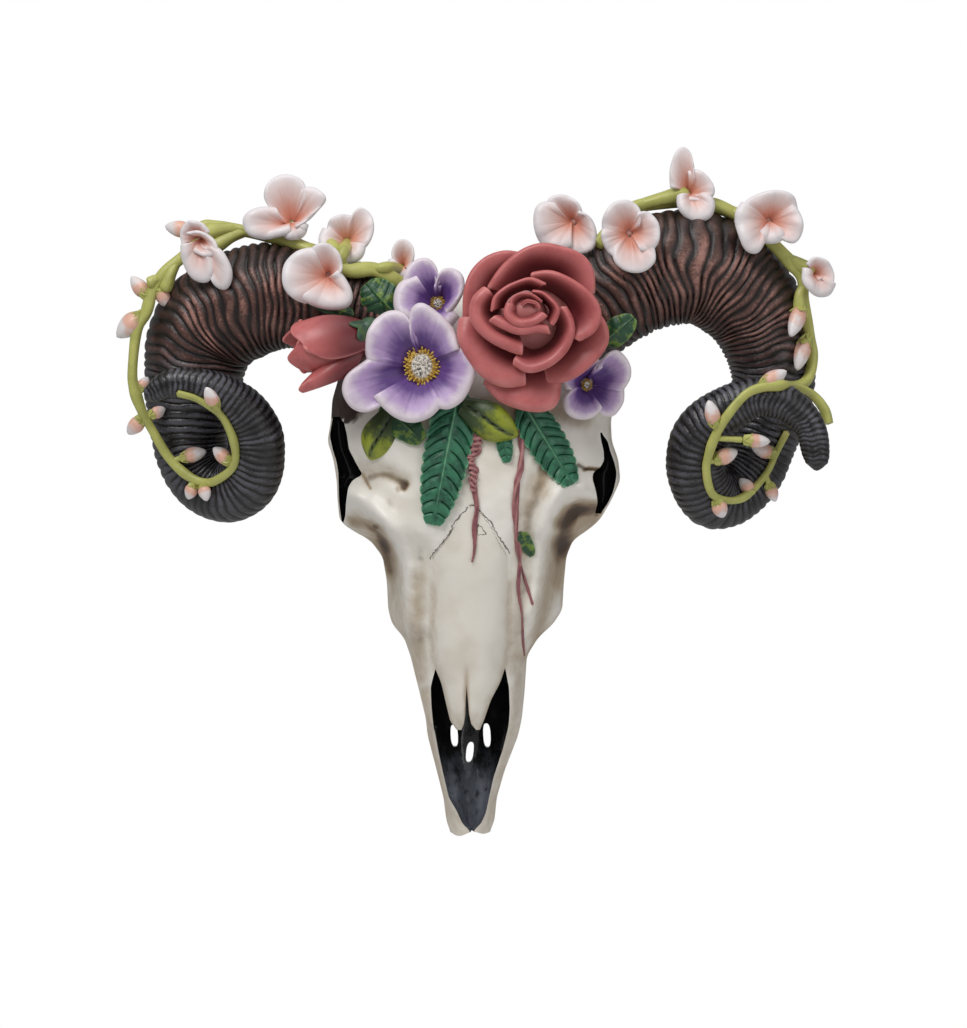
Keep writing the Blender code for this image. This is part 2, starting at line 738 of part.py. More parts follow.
def ground(side, height, horns):
    """Depth of whatever stands behind one place: the skull or a horn."""
    best = 0.0
    if SKULL_OUTLINE[-1][0] < height < SKULL_OUTLINE[0][0]:
        if abs(side - middle_at(height)) < lookup(SKULL_OUTLINE, height):
            best = face_depth(side, height) + NASAL_RISE
    for samples in horns:
        depth = horn_depth(samples, side, height)
        if depth is not None:
            best = max(best, depth)
    return best


def petals_at(matrix, petals, root, cup, roll, columns=2):
    """Petals round a flower's middle, each as (angle, length, width, tilt)."""
    pieces = []
    for angle, length, width, tilt in petals:
        turn = Matrix.Rotation(math.radians(angle), 4, "Z")
        lean = Matrix.Rotation(math.radians(tilt), 4, "X")
        place = matrix @ turn @ Matrix.Translation((0, root, 0)) @ lean
        pieces.append(moved(petal(length, width, cup, roll, columns), place))
    return pieces


def stalk(start, anchor, radii, sides=6):
    """A tapered stalk from a flower's middle to what it grows from."""
    rings = []
    along = (anchor - start).normalized()
    side = along.orthogonal().normalized()
    for share, radius in zip((0, 0.5, 1), radii):
        centre = start.lerp(anchor, share)
        rings.append([
            centre + Matrix.Rotation(2 * math.pi * i / sides, 3, along) @ side * radius
            for i in range(sides)
        ])
    return loft(rings)


def seat_behind(side, height, horns):
    """A place just under the surface behind a flower."""
    return world(side, max(ground(side, height, horns), OPEN_DEPTH) - 3, height)


def build_rose(material, horns):
    centre = world(*ROSE_PLACE)
    matrix = Matrix.Translation(centre) @ facing(*ROSE_FACING)
    pieces = [stalk(centre, seat_behind(ROSE_PLACE[0], ROSE_PLACE[2], horns), ROSE_STALK, 8)]
    for count, first, length, width, tilt, cup, roll, root in ROSE_RINGS:
        petals = [
            (first + 360 * i / count, length * (1 + 0.12 * math.sin(2.4 * i)), width, tilt + 5 * (i % 2))
            for i in range(count)
        ]
        sunk = matrix @ Matrix.Translation((0, 0, -2 if tilt < 60 else 0))
        pieces += petals_at(sunk, petals, root, cup, roll, 3 if length > 20 else 2)
    return fuse("rose", pieces, material)


def build_anemone(name, material, horns):
    side, height, depth, heart, yaw, pitch, columns, petals = ANEMONES[name]
    centre = world(side, depth, height)
    matrix = Matrix.Translation(centre) @ facing(yaw, pitch)
    pieces = [ball(centre, (heart, heart * 0.6, heart), 8, 5)]
    pieces.append(stalk(centre, seat_behind(side, height, horns), (heart * 0.8, heart * 0.7, heart * 0.7)))
    pieces += petals_at(matrix, petals, heart * 0.55, ANEMONE_CUP, ANEMONE_ROLL, columns)
    return fuse(name, pieces, material)


def nearest_anchor(place, horns, vine):
    """The nearest place on a vine or a horn, a little under its surface."""
    best = None
    for x, depth, z, radius in vine:
        centre = world(x, depth, z)
        reach = (place - centre).length
        if best is None or reach < best[0]:
            best = (reach, centre)
    for samples in horns:
        for x, depth, z, radius in samples:
            centre = world(x, depth, z)
            surface = centre + (place - centre).normalized() * radius * 0.8
            reach = (place - surface).length
            if reach < best[0]:
                best = (reach, surface)
    return best[1]


def build_blossom(spec, material, horns, vines):
    name, side, height, off, yaw, pitch, petals = spec
    depth = max(ground(side, height, horns) + 4, OPEN_DEPTH + 2) + off
    centre = world(side, depth, height)
    matrix = Matrix.Translation(centre) @ facing(yaw, pitch)
    throat = matrix @ Vector((0, 0, 1.5))
    neck = matrix @ Vector((0, 0, -5))
    anchor = nearest_anchor(neck, horns, vines)
    route = [(p.x, -p.y, p.z, radius) for p, radius in zip((throat, neck, anchor), BLOSSOM_TUBE)]
    pieces = [loft(tube_rings(smooth_route(route, 4), 6))]
    pieces += petals_at(matrix, petals, BLOSSOM_ROOT, BLOSSOM_CUP, BLOSSOM_ROLL)
    return fuse("blossom_" + name, pieces, material)


def build_leaf(spec, material, horns):
    name, off, root, tip, width, lobes, bow = spec
    span = math.dist(root, tip)
    angle = math.degrees(math.atan2(-(tip[0] - root[0]), tip[1] - root[1]))
    steps = 3 * lobes if lobes > 1 else 5
    rows = [i / steps for i in range(steps + 1)]

    def half_width(row):
        outline = math.sin(math.pi * (0.06 + 0.9 * row ** 0.85))
        scallop = 0.78 + 0.22 * abs(math.sin(math.pi * lobes * row)) if lobes > 1 else 1
        return max(0.5, width / 2 * outline * scallop)

    def rise(s, row):
        return bow * math.sin(math.pi * row) - 0.09 * width * s * s

    first = ground(*root, horns) + off - LEAF_SINK
    last = ground(*tip, horns) + off
    lean = math.degrees(math.atan2(last - first, span))
    matrix = Matrix.Translation(world(root[0], first, root[1])) @ facing(0, 0, angle)
    matrix = matrix @ Matrix.Rotation(math.radians(lean), 4, "X")
    shape = plate(math.hypot(span, last - first), half_width, rise, rows, 2, LEAF_THICKNESS)
    return fuse(name, [moved(shape, matrix)], material)


def build_closed_bud(spec, material, horns):
    name, off, root, tip, radius = spec
    first = world(root[0], ground(*root, horns) + off, root[1])
    last = world(tip[0], ground(*tip, horns) + off, tip[1])
    samples = []
    for t in (0, 0.12, 0.35, 0.6, 0.85, 1):
        place = first.lerp(last, t)
        samples.append((place.x, -place.y, place.z, radius * max(0.2, math.sin(math.pi * (0.1 + 0.82 * t)))))
    return fuse(name, [loft(tube_rings(samples, 8), pointed=True)], material)


def bud_rings(matrix, body, sides):
    """Flattened rings along a bud's own +Y from rows of (reach, radius)."""
    turns = [2 * math.pi * i / sides for i in range(sides)]
    return [
        [matrix @ Vector((wide * math.cos(t), reach, ROSE_BUD_FLATNESS * wide * math.sin(t))) for t in turns]
        for reach, wide in body
    ]


def build_rose_bud(material):
    """The half open bud, with three petals round a closed middle."""
    matrix = Matrix.Translation(world(*ROSE_BUD_PLACE)) @ facing(*ROSE_BUD_FACING)
    pieces = [loft(bud_rings(matrix, ROSE_BUD_BODY, 10), pointed=True)]
    for turn, length, width, lean in ROSE_BUD_PETALS:
        spin = Matrix.Rotation(math.radians(turn), 4, "Y")
        place = matrix @ spin @ Matrix.Translation((0, 2, 9)) @ Matrix.Rotation(math.radians(lean), 4, "X")
        pieces.append(moved(petal(length, width, -5, -2), place))
    return fuse("rose_bud", pieces, material)


def build_calyx(material):
    matrix = Matrix.Translation(world(*CALYX_PLACE)) @ facing(*ROSE_BUD_FACING)
    return fuse("bud_calyx", [loft(bud_rings(matrix, CALYX_BODY, 8))], material)


def build_root(spec, material, horns):
    name, radius, points = spec
    route = [(x, ground(x, z, horns) + radius * 0.8, z, radius * (1 - 0.25 * i / len(points)))
             for i, (x, z) in enumerate(points)]
    samples = smooth_route(route, 2 * len(points) + 1)
    return fuse(name, [loft(tube_rings(samples, 5), pointed=True)], material)


def vine_route(points, horns, count):
    start, end = VINE_RADII
    route = []
    for index, (x, z) in enumerate(points):
        radius = start + (end - start) * index / (len(points) - 1)
        seat = ground(x, z, horns)
        route.append([x, (seat if seat else OPEN_DEPTH) + radius + VINE_LIFT, z, radius])
    for _ in range(2):
        depths = [point[1] for point in route]
        for index in range(1, len(route) - 1):
            around = (depths[index - 1] + depths[index] + depths[index + 1]) / 3
            route[index][1] = max(depths[index], around)
    return smooth_route([tuple(point) for point in route], count)


def build_vine(name, points, buds, material, horns):
    samples = vine_route(points, horns, VINE_STATIONS)
    pieces = [loft(tube_rings(samples, VINE_SIDES), pointed=True)]
    for x, z, radius in buds:
        nearest = min(samples, key=lambda s: math.hypot(s[0] - x, s[2] - z))
        seat = max(ground(x, z, horns) + radius * 0.75 + VINE_LIFT, nearest[1])
        middle = world(x, seat, z)
        stem = world(*nearest[:3])
        end = middle + (middle - stem).normalized() * radius * 1.1
        route = []
        for share, swell in BUD_SHAPE:
            place = stem.lerp(end, share)
            route.append((place.x, -place.y, place.z, radius * swell))
        pieces.append(loft(tube_rings(route, VINE_SIDES), pointed=True))
    return fuse(name, pieces, material)


def clear_everything():
    for item in list(bpy.data.objects):
        bpy.data.objects.remove(item)


def main():
    clear_everything()
    bone = make_material("bone", (0.72, 0.66, 0.56), 0.55)
    horn = make_material("horn", (0.09, 0.05, 0.045), 0.5)
    rose_red = make_material("rose_petal", (0.50, 0.13, 0.12), 0.5)
    violet = make_material("anemone_petal", (0.30, 0.18, 0.38), 0.5)
    blossom_white = make_material("blossom_petal", (0.80, 0.72, 0.74), 0.5)
    leaf_green = make_material("leaf", (0.04, 0.16, 0.08), 0.55)
    olive = make_material("olive_bud", (0.28, 0.30, 0.05), 0.5)
    mauve = make_material("root", (0.36, 0.14, 0.14), 0.5)
    vine_green = make_material("vine", (0.36, 0.40, 0.08), 0.45)

    skull = build_skull(bone)
    left = build_horn("left", HORN_LEFT, horn)
    right = build_horn("right", HORN_RIGHT, horn)
    for base in (left[0], right[0]):
        clear_of(base, skull[:1])
    horns = [horn_samples(HORN_LEFT), horn_samples(HORN_RIGHT)]
    placed = skull + left + right

    def add(node):
        clear_of(node, placed)
        placed.append(node)

    add(build_anemone("anemone_large", violet, horns))
    add(build_rose(rose_red, horns))
    add(build_anemone("anemone_top", violet, horns))
    add(build_anemone("anemone_right", violet, horns))
    add(build_rose_bud(rose_red))
    add(build_calyx(leaf_green))
    for spec in CLOSED_BUDS:
        add(build_closed_bud(spec, olive, horns))
    for spec in LEAVES:
        add(build_leaf(spec, leaf_green, horns))
    for spec in ROOTS:
        add(build_root(spec, mauve, horns))
    add(build_vine("vine_left", VINE_LEFT, BUDS_LEFT, vine_green, horns))
    add(build_vine("vine_right", VINE_RIGHT, BUDS_RIGHT, vine_green, horns))
    vines = vine_route(VINE_LEFT, horns, VINE_STATIONS) + vine_route(VINE_RIGHT, horns, VINE_STATIONS)
    for spec in BLOSSOMS:
        add(build_blossom(spec, blossom_white, horns, vines))


main()
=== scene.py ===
"""Ram skull wall ornament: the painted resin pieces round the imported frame.

Sizes are in millimetres, with X to the viewer's right, Z up and depth from the wall towards the viewer.
"""

import math

import bpy
import numpy as np
from mathutils import Matrix, Vector

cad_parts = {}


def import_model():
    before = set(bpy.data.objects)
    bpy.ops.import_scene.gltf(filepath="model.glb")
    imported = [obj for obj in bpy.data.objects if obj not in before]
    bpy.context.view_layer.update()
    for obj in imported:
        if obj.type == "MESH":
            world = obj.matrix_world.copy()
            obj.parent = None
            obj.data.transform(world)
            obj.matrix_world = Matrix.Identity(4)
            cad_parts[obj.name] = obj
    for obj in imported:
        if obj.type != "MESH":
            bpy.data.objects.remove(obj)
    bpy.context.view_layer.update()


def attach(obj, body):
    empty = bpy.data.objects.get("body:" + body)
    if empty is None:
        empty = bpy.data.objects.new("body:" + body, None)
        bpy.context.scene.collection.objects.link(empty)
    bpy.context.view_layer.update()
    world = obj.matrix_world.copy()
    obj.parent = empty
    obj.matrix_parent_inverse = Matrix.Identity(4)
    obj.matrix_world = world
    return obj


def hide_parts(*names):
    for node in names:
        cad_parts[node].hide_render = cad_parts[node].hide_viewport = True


bl_info = {
    "name": "Ram Skull Ornament",
    "version": (1, 0, 0),
    "blender": (4, 5, 0),
    "location": "View3D > Sidebar > Ornament",
    "description": "Builds the skull, horns, flowers, leaves and vines of a painted wall ornament",
    "category": "Object",
}

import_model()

MM = 0.001
# Size of one pixel of the photograph at the ornament
PIXEL = 0.432

# The skull's edges: height, left side, right side
SKULL_EDGES = [
    (68, -18, 18), (62, -36, 36), (50, -52, 52), (36, -58, 60), (22, -62, 61), (13, -62.5, 59),
    (4, -64, 59.4), (-4, -61.4, 62.2), (-13, -60, 63.1), (-21.6, -59.6, 59.2), (-30.2, -59, 54.4),
    (-34, -55, 50), (-38.9, -45.8, 42.8), (-46.2, -40.4, 39.9), (-57, -38.6, 38.9), (-69.6, -38, 38.2),
    (-76, -36.2, 34), (-81.6, -30.9, 27.6), (-89.4, -28.1, 22.6), (-105, -24.2, 21.6),
    (-116.6, -21.4, 20.4), (-124.4, -20.7, 18.8), (-139.5, -16.8, 13), (-151.6, -13.8, 9.5),
    (-163, -12.4, 8.4), (-165.5, -11.8, 7.6), (-168, -10.6, 6.4),
]
# Depth of the face: its middle by height, and its sides where they turn back to the wall
SKULL_CROWN = [
    (68, 38), (64, 47), (56, 58), (40, 67), (15, 73), (-10, 75), (-28, 74), (-47, 70), (-65, 64),
    (-91, 56), (-117, 48), (-140, 39), (-164, 29), (-168, 25),
]
SKULL_RIM = [
    (68, 22), (40, 32), (-10, 38), (-38, 30), (-57, 22), (-76, 17), (-91, 20), (-117, 21), (-168, 12),
]
FACE_POWER = 3.2
SKULL_TOP, SKULL_FOOT = SKULL_EDGES[0][0], SKULL_EDGES[-1][0]
SKULL_COLUMNS = 200
SKULL_ROWS = 330
# The share of the skull's grid that lies on the front; the rest closes the flat back
FRONT_WIDTH = 0.955
FRONT_HEIGHT = 0.485
# The most that the face stands out from the wall
FRONT_LIMIT = 78
# Ridges and hollows of the face: rise, width, then the line as (side, height)
FACE_FORMS = [
    (7.0, 4.8, [(-54.4, -19.5), (-45.8, -23.2), (-39.4, -30), (-33.6, -39.7), (-30.2, -51), (-29.0, -64),
                (-28.6, -81), (-26.2, -95), (-22.5, -117)]),
    (6.5, 4.8, [(52.7, -20), (44.5, -16), (38, -17.3), (34.6, -22.9), (32, -33.7), (30.2, -45.4),
                (28.5, -58.3), (25, -71.3), (22.5, -84), (19.5, -100), (17.6, -117)]),
    (3.2, 4.0, [(-54.0, -17.0), (-51.5, -19.0)]),
    (3.0, 4.2, [(52, -15), (51.5, -21), (47, -17)]),
    (-5.5, 3.4, [(-54, -29.5), (-46, -31.5), (-42.0, -34.4), (-38.6, -42), (-36.5, -52)]),
    (-8.0, 5.4, [(51, -28), (43.5, -27), (38.2, -31), (36.6, -41)]),
    (-2.8, 3.4, [(-50, -9.4), (-46, -11.6), (-41, -10.4), (-36, -11.0), (-31, -14.2)]),
    (-2.6, 1.1, [(57, -8.2), (47.5, -8.2), (44, -6.5)]),
    (-2.2, 5.0, [(28, -8), (25, -18), (22.6, -28), (20.6, -44), (19.2, -60), (18, -82)]),
    (-1.8, 4.0, [(-23, -44), (-23.4, -66), (-23.6, -88), (-21.4, -104)]),
    (-1.4, 1.6, [(-29.4, -15), (-30.2, -16.8)]),
    (3.0, 10.0, [(-46, 4), (-40, -1)]),
    (3.0, 9.0, [(45, 5), (48, -1)]),
]
# The crest of the two ridges: height, left side, right side; outside it the cheeks are set back by a depth
RIDGE_CREST = [
    (-22, -48, 35.5), (-30, -39.4, 33.2), (-39.7, -33.6, 31.2), (-51, -30.2, 29.6), (-64, -29, 26.8),
    (-81, -28.6, 23.2), (-95, -26.2, 20.4), (-117, -22.5, 17.6),
]
CHEEK_DROP = [(-22, 0), (-30, 3.5), (-40, 8), (-60, 10), (-74, 8.5), (-86, 5), (-100, 2), (-118, 0)]
# Where brown wash has gathered and where painted shade darkens the face: strength, reach, line
FACE_WASH_AND_SHADE = [
    # Painted shadow under the right bar of the orbit, then painted shade on the cheek below it
    (1.0, 4.2, [(52, -25.6), (46, -25.4), (41, -27.4), (37.6, -32)]),
    (0.6, 8.0, [(50, -30), (42, -34), (38, -42), (35, -56)]),
    # Painted shadow under the left bar of the orbit, then painted shade on the cheek below it
    (0.66, 3.4, [(-53, -31), (-46, -32.4), (-41.6, -35), (-38.6, -43)]),
    (0.4, 7.0, [(-50, -32), (-41, -40), (-36, -54)]),
    (1.0, 1.7, [(-43.4, -33.0), (-42.4, -33.4)]),
    # Painted shade under the left brow
    (0.3, 6.0, [(-48, -7), (-40, -8), (-32, -12)]),
    (0.34, 2.8, [(-49.6, -9.6), (-46, -11.4), (-41, -10.0), (-36, -10.8)]),
    (0.75, 0.8, [(-48.4, -10.6), (-45.0, -16.6)]),
    (0.42, 6.0, [(-24.4, -56), (-25.4, -74), (-24.2, -98)]),
    (0.3, 6.0, [(25.5, -12), (22.6, -26), (20.4, -46), (19, -66), (17.4, -96)]),
    # Painted shade on the cheeks beside the ridges
    (0.5, 5.0, [(33.8, -50), (31.0, -64), (27.4, -80)]),
    (0.34, 6.0, [(-34.6, -52), (-34, -66), (-31.6, -80)]),
    (0.7, 1.5, [(-29.2, -15.2), (-30.2, -16.6)]),
    (0.55, 1.2, [(-33.4, -16.6), (-33.0, -17.4)]),
    (0.95, 0.9, [(57, -8.4), (49, -8.0), (47, -8.6)]),
    (0.42, 5.0, [(30, -8), (29, -18)]),
    # Painted shadow that the flowers cast on the brow
    (0.5, 8.0, [(-22, 15), (0, 17), (24, 17), (46, 17)]),
    (0.4, 4.0, [(-21.6, -104), (-19.4, -124), (-14.8, -148)]),
    (0.36, 4.0, [(19.0, -98), (17.2, -118), (11, -142)]),
]
# The sutures of the brow: lines from (side, height) to (side, height)
CRACKS = [
    ((-2.8, -24.6), (-8.2, -30.6)), ((-8.2, -30.6), (-11.4, -36.6)), ((-11.4, -36.6), (-19.4, -46.8)),
    ((0.6, -24.6), (6.6, -31.2)), ((6.6, -31.2), (9.6, -36.4)), ((9.6, -36.4), (15.0, -44.2)),
    ((1.4, -32.0), (4.8, -36.0)), ((1.4, -36.8), (4.8, -36.4)), ((1.4, -32.0), (1.2, -36.4)),
    ((48, -8.6), (57.5, -8.2)),
]
# The nasal bones: height, outer left, inner left, inner right, outer right
NASAL_EDGES = [
    (-24.2, -2.8, -1.9, -1.5, 0.9), (-34, -10, -2.6, -2.2, 7.8), (-46.4, -19.0, -3.2, -2.8, 14.9),
    (-60, -18.3, -3.5, -3.1, 15), (-83, -18.6, -3.8, -3.3, 14.6), (-93, -17.9, -3.9, -3.3, 13.4),
    (-100.5, -14.6, -3.9, -3.2, 11.0), (-108, -12.9, -4.0, -3.0, 6.9), (-114, -11.5, -4.1, -2.6, 4.9),
    (-118.4, -10.4, -4.8, -1.6, 3.4), (-121, -7.4, -5.9, 0.5, 1.9),
]
NASAL_TOP, NASAL_FOOT = NASAL_EDGES[0][0], NASAL_EDGES[-1][0]
NASAL_THICKNESS = 4.2
# The nasal cavity: height, left side, right side
CAVITY = [
    (-88, -15, 11), (-95, -17.6, 13.6), (-103, -20, 15.2), (-112, -19.9, 15.6), (-122, -19.3, 15.1),
    (-130, -18.2, 13.6), (-138, -16.6, 11.0), (-142, -15.8, 9.6), (-151, -13.6, 7.8), (-157.4, -9.4, 6.2),
    (-162.5, -6.2, 3.7), (-165.6, -2.4, -0.4),
]
CAVITY_FLOOR = 9
CAVITY_MOUTH = 80
# The orbits: height, outer side, inner side
ORBIT_LEFT = [
    (14, -61.8, -58.4), (12, -62.4, -56.6), (6.4, -63.3, -55.2), (0.4, -61.9, -54.4), (-5, -60.2, -51.6),
    (-9, -59.6, -49.4), (-10.8, -59.5, -48.2), (-12.6, -59.4, -52.6), (-16, -59.2, -54.6),
    (-23, -59.0, -55.8), (-29, -58.6, -56.2), (-31.5, -58.2, -57.2),
]
ORBIT_RIGHT = [
    (7, 55.0, 54.2), (4, 57.6, 54.6), (0, 58.5, 55.6), (-4.4, 60.2, 55.8), (-7.8, 61.2, 54.0),
    (-9.4, 61.6, 51.0), (-12.4, 61.4, 50.6), (-18, 60.2, 52.2), (-23, 57.8, 53.0), (-26.8, 55.4, 52.0),
]
ORBIT_FLOOR = 24
ORBIT_MOUTH = 62
# Slots through the cavity's floor: side, height, half height, lean
SLOTS = [(-9.1, -124.6, 4.9, -0.3), (-2.3, -131.9, 4.5, 0.6), (5.2, -124.5, 5.3, -0.3)]
SLOT_HALF_WIDTH = 1.6
# A slot's cutter starts behind the wall's plane and reaches into the nose
SLOT_START = -6
SLOT_LENGTH = 34
# How far a well's cutter goes on past the first and the last row of its table, and in front of its mouth
WELL_END = 0.6
WELL_OVER = 12
# The two rounded lobes of the chin: side, reach and how far each hangs below the notch between them
CHIN_LOBES = [(-7.1, 4.6, 2.7), (4.2, 4.0, 1.8)]

# Horns: side, depth, height, radius, from the skull to the tip
HORN_LEFT = [
    (-26, 42, 52, 20), (-56, 42, 60.5, 22.5), (-77, 41, 66.5, 22.5), (-97, 37, 65, 24.3),
    (-117, 29, 53, 24), (-123, 23, 32, 21.5), (-124.5, 20.5, 10, 17.6), (-122, 21, -5, 15.6),
    (-116, 24.5, -14, 14.5), (-107, 30.5, -17.5, 13.8), (-98.5, 37, -13, 13.2), (-95, 43, -3, 12.7),
    (-95.5, 48, 8, 12), (-102, 53, 18.5, 10.4), (-115, 57.5, 26.5, 8), (-130, 58, 28.5, 6.6),
    (-138.5, 56, 24.5, 4.6), (-142, 55, 21.5, 2.6),
]
HORN_RIGHT = [
    (20, 42, 50, 20), (47.5, 42, 60.5, 22.5), (71, 41, 75, 24.3), (97, 37, 79.5, 24.8),
    (118.8, 29, 65, 22.5), (128.5, 23.5, 44, 19.5), (130, 19.5, 23.8, 17.5), (125.5, 19, 5, 15.4),
    (120.5, 21, -9, 14.2), (112, 26, -18.5, 13.6), (103, 33.5, -20.5, 13.2), (96.8, 41, -12, 13),
    (95.6, 46.5, -1, 12.8), (99, 50.5, 8.6, 12.2), (108.5, 54, 17, 10.6), (121, 55, 22.5, 8.6),
    (134, 55, 20.3, 7.8), (144, 54, 10.8, 6.8), (147.2, 53, -1.5, 6), (147.5, 53, -9, 3.4),
]
# The direction that the dry brushing on a horn faces, taken as the light's: ridges facing it get a painted
# highlight and the side turned from it painted shade
HORN_LIT = (-0.12, -0.78, 0.61)
HORN_ROWS = 1000
HORN_SIDES = 80
HORN_FLATNESS = 0.88
# The long keel low on a horn and the hollow beside it: turn in degrees on the left horn, width, rise
HORN_KEEL = [(-58, 0.26, 0.07), (-25, 0.4, -0.05)]

VINE_LEFT = [
    (-31, 71), (-43, 77.5), (-56, 77.5), (-62, 88), (-68, 86), (-80, 90), (-90, 93), (-101.5, 95.5),
    (-112, 97), (-118.5, 96), (-124.5, 86), (-134.5, 77), (-139.5, 69.5), (-142.5, 59.5), (-146.5, 52),
    (-148.5, 35), (-147.8, 27), (-144.5, 17), (-140, 8.5), (-133, -3), (-124.5, -11), (-116, -14),
    (-108.8, -11), (-104, -6), (-103.6, 1), (-105.5, 8), (-109.5, 15), (-115.5, 19.5), (-121, 22.5),
    (-128.5, 24.5),
]
VINE_RIGHT = [
    (52, 88), (56, 92), (62, 100), (71, 106), (89, 108), (101, 106.7), (114, 101.5), (127.5, 90.7),
    (136, 82), (141.7, 74.7), (142.5, 65), (145, 52), (146.4, 43), (146, 35), (143.2, 29.6), (138, 27.8),
    (131.3, 28), (124, 27.2), (116.5, 24), (109, 15.5), (104, 7.3), (101, -1), (99.8, -8.6),
    (102.4, -18.6), (109.3, -21.6), (116.2, -20.3), (122.7, -14.7), (127.4, -8.6), (131.3, -0.4),
    (136, 8.6),
]
VINE_RING = [(153, 11.0), (151.6, 17.6), (146, 24.4), (138.5, 27.4), (131.3, 27.8)]
VINE_RADII = (3.1, 1.4)
VINE_ROWS = 340
# Rows of the vine from one knot to the next
KNOT_SPACING = 46
# Depth of a vine where nothing stands behind it, and the most depth of a spur's end
OPEN_DEPTH = 38
SPUR_DEPTH = 42


def read(table, heights, column=1):
    """Read one column of a table against heights."""
    rows = sorted(table)
    return np.interp(heights, [row[0] for row in rows], [row[column] for row in rows])


def read_smooth(table, heights, column=1, spread=1.8):
    """Read a column with its corners rounded over a spread of heights."""
    shifts = (-1.0, -0.5, 0.0, 0.5, 1.0)
    return sum(read(table, heights + spread * shift, column) for shift in shifts) / len(shifts)


def step(low, high, values):
    """A smooth rise from 0 at low to 1 at high."""
    share = np.clip((np.asarray(values, float) - low) / (high - low), 0, 1)
    return share * share * (3 - 2 * share)


def squared(values, power):
    """A sine or cosine whose round is made squarer by a power below 1."""
    return np.sign(values) * np.abs(values) ** power


def reach_to(line, sides, heights):
    """Distance of each point to a line of (side, height)."""
    best = np.full(np.shape(sides), 1e9)
    for (x0, z0), (x1, z1) in zip(line, line[1:]):
        dx, dz = x1 - x0, z1 - z0
        share = np.clip(((sides - x0) * dx + (heights - z0) * dz) / (dx * dx + dz * dz), 0, 1)
        best = np.minimum(best, np.hypot(sides - x0 - share * dx, heights - z0 - share * dz))
    return best


def unevenness(points, size, seed):
    """A smooth random swell from about -1 to 1, with hollows a given size apart."""
    chance = np.random.RandomState(seed)
    total = np.zeros(len(points))
    for _ in range(7):
        direction = chance.normal(size=3)
        direction *= 2 * math.pi / (size * (0.7 + 0.9 * chance.rand())) / np.linalg.norm(direction)
        total += np.sin(points @ direction + chance.rand() * 7)
    return total / 3.2


def smooth_route(points, count):
    """Even samples along a Catmull-Rom curve; a point may carry more values than its place."""
    padded = [points[0]] + list(points) + [points[-1]]
    dense = []
    for index in range(len(points) - 1):
        a, b, c, d = (np.array(row, float) for row in padded[index:index + 4])
        for t in np.arange(24) / 24:
            dense.append(0.5 * (2 * b + (c - a) * t + (2 * a - 5 * b + 4 * c - d) * t * t
                                + (3 * b - a - 3 * c + d) * t ** 3))
    dense.append(np.array(points[-1], float))
    dense = np.array(dense)
    gaps = np.linalg.norm(np.diff(dense[:, :3], axis=0), axis=1)
    reach = np.concatenate([[0], np.cumsum(gaps)])
    spots = np.linspace(0, reach[-1], count)
    return np.stack([np.interp(spots, reach, dense[:, k]) for k in range(dense.shape[1])], 1)


def face_depth(sides, heights):
    """Depth of the skull's front, without its openings."""
    left, right = read_smooth(SKULL_EDGES, heights, 1), read_smooth(SKULL_EDGES, heights, 2)
    across = np.clip(np.abs(sides - (left + right) / 2) / ((right - left) / 2), 0, 1)
    crown, rim = read_smooth(SKULL_CROWN, heights, 1, 8), read_smooth(SKULL_RIM, heights, 1, 8)
    depth = rim + (crown - rim) * (1 - across ** FACE_POWER)
    for rise, width, line in FACE_FORMS:
        depth = depth + rise * np.exp(-(reach_to(line, sides, heights) / width) ** 2)
    crest_left, crest_right = read_smooth(RIDGE_CREST, heights, 1), read_smooth(RIDGE_CREST, heights, 2)
    outside = np.maximum(crest_left - sides, sides - crest_right)
    return depth - read_smooth(CHEEK_DROP, heights) * step(0.5, 6.5, outside)


def nasal_inside(sides, heights):
    """How far inside the nasal bones' outline a place lies, in millimetres."""
    left, right = read(NASAL_EDGES, heights, 1), read(NASAL_EDGES, heights, 4)
    inside = np.minimum(sides - left, right - sides)
    return np.where((heights < -24) & (heights > -122), inside, -1)


HORN_ROUTES = [smooth_route(HORN_LEFT, 61), smooth_route(HORN_RIGHT, 61)]


def ground(side, height):
    """Depth of whatever stands behind one place: the skull or a horn."""
    best = 0.0
    if SKULL_FOOT < height < SKULL_TOP:
        left, right = read(SKULL_EDGES, height, 1), read(SKULL_EDGES, height, 2)
        if left < side < right:
            best = float(face_depth(np.array([side]), np.array([height]))[0])
    for samples in HORN_ROUTES:
        distance = np.hypot(side - samples[:, 0], height - samples[:, 2])
        under = distance < samples[:, 3]
        if under.any():
            front = samples[:, 1] + HORN_FLATNESS * np.sqrt(np.maximum(samples[:, 3] ** 2 - distance ** 2, 0))
            best = max(best, float(front[under].max()))
    return best


def world(side, depth, height):
    """A place given by its depth in front of the wall."""
    return Vector((side, -depth, height))


def facing(spot, yaw, pitch):
    """A flower's frame at (side, depth, height): it looks at the viewer, then yaws right and pitches up."""
    front = Matrix(((1, 0, 0), (0, 0, -1), (0, 1, 0))).to_4x4()
    turn = Matrix.Rotation(math.radians(yaw), 4, "Z") @ Matrix.Rotation(math.radians(-pitch), 4, "X")
    return Matrix.Translation(world(*spot)) @ turn @ front


def moved(points, matrix):
    """Rows of points, taken through a matrix."""
    grid = np.array(matrix)
    return points @ grid[:3, :3].T + grid[:3, 3]


def pick(*pieces):
    """Select these pieces and nothing else, the first of them active."""
    if bpy.context.object and bpy.context.object.mode != "OBJECT":
        bpy.ops.object.mode_set(mode="OBJECT")
    bpy.ops.object.select_all(action="DESELECT")
    for piece in pieces:
        piece.select_set(True)
        bpy.context.view_layer.objects.active = pieces[0]


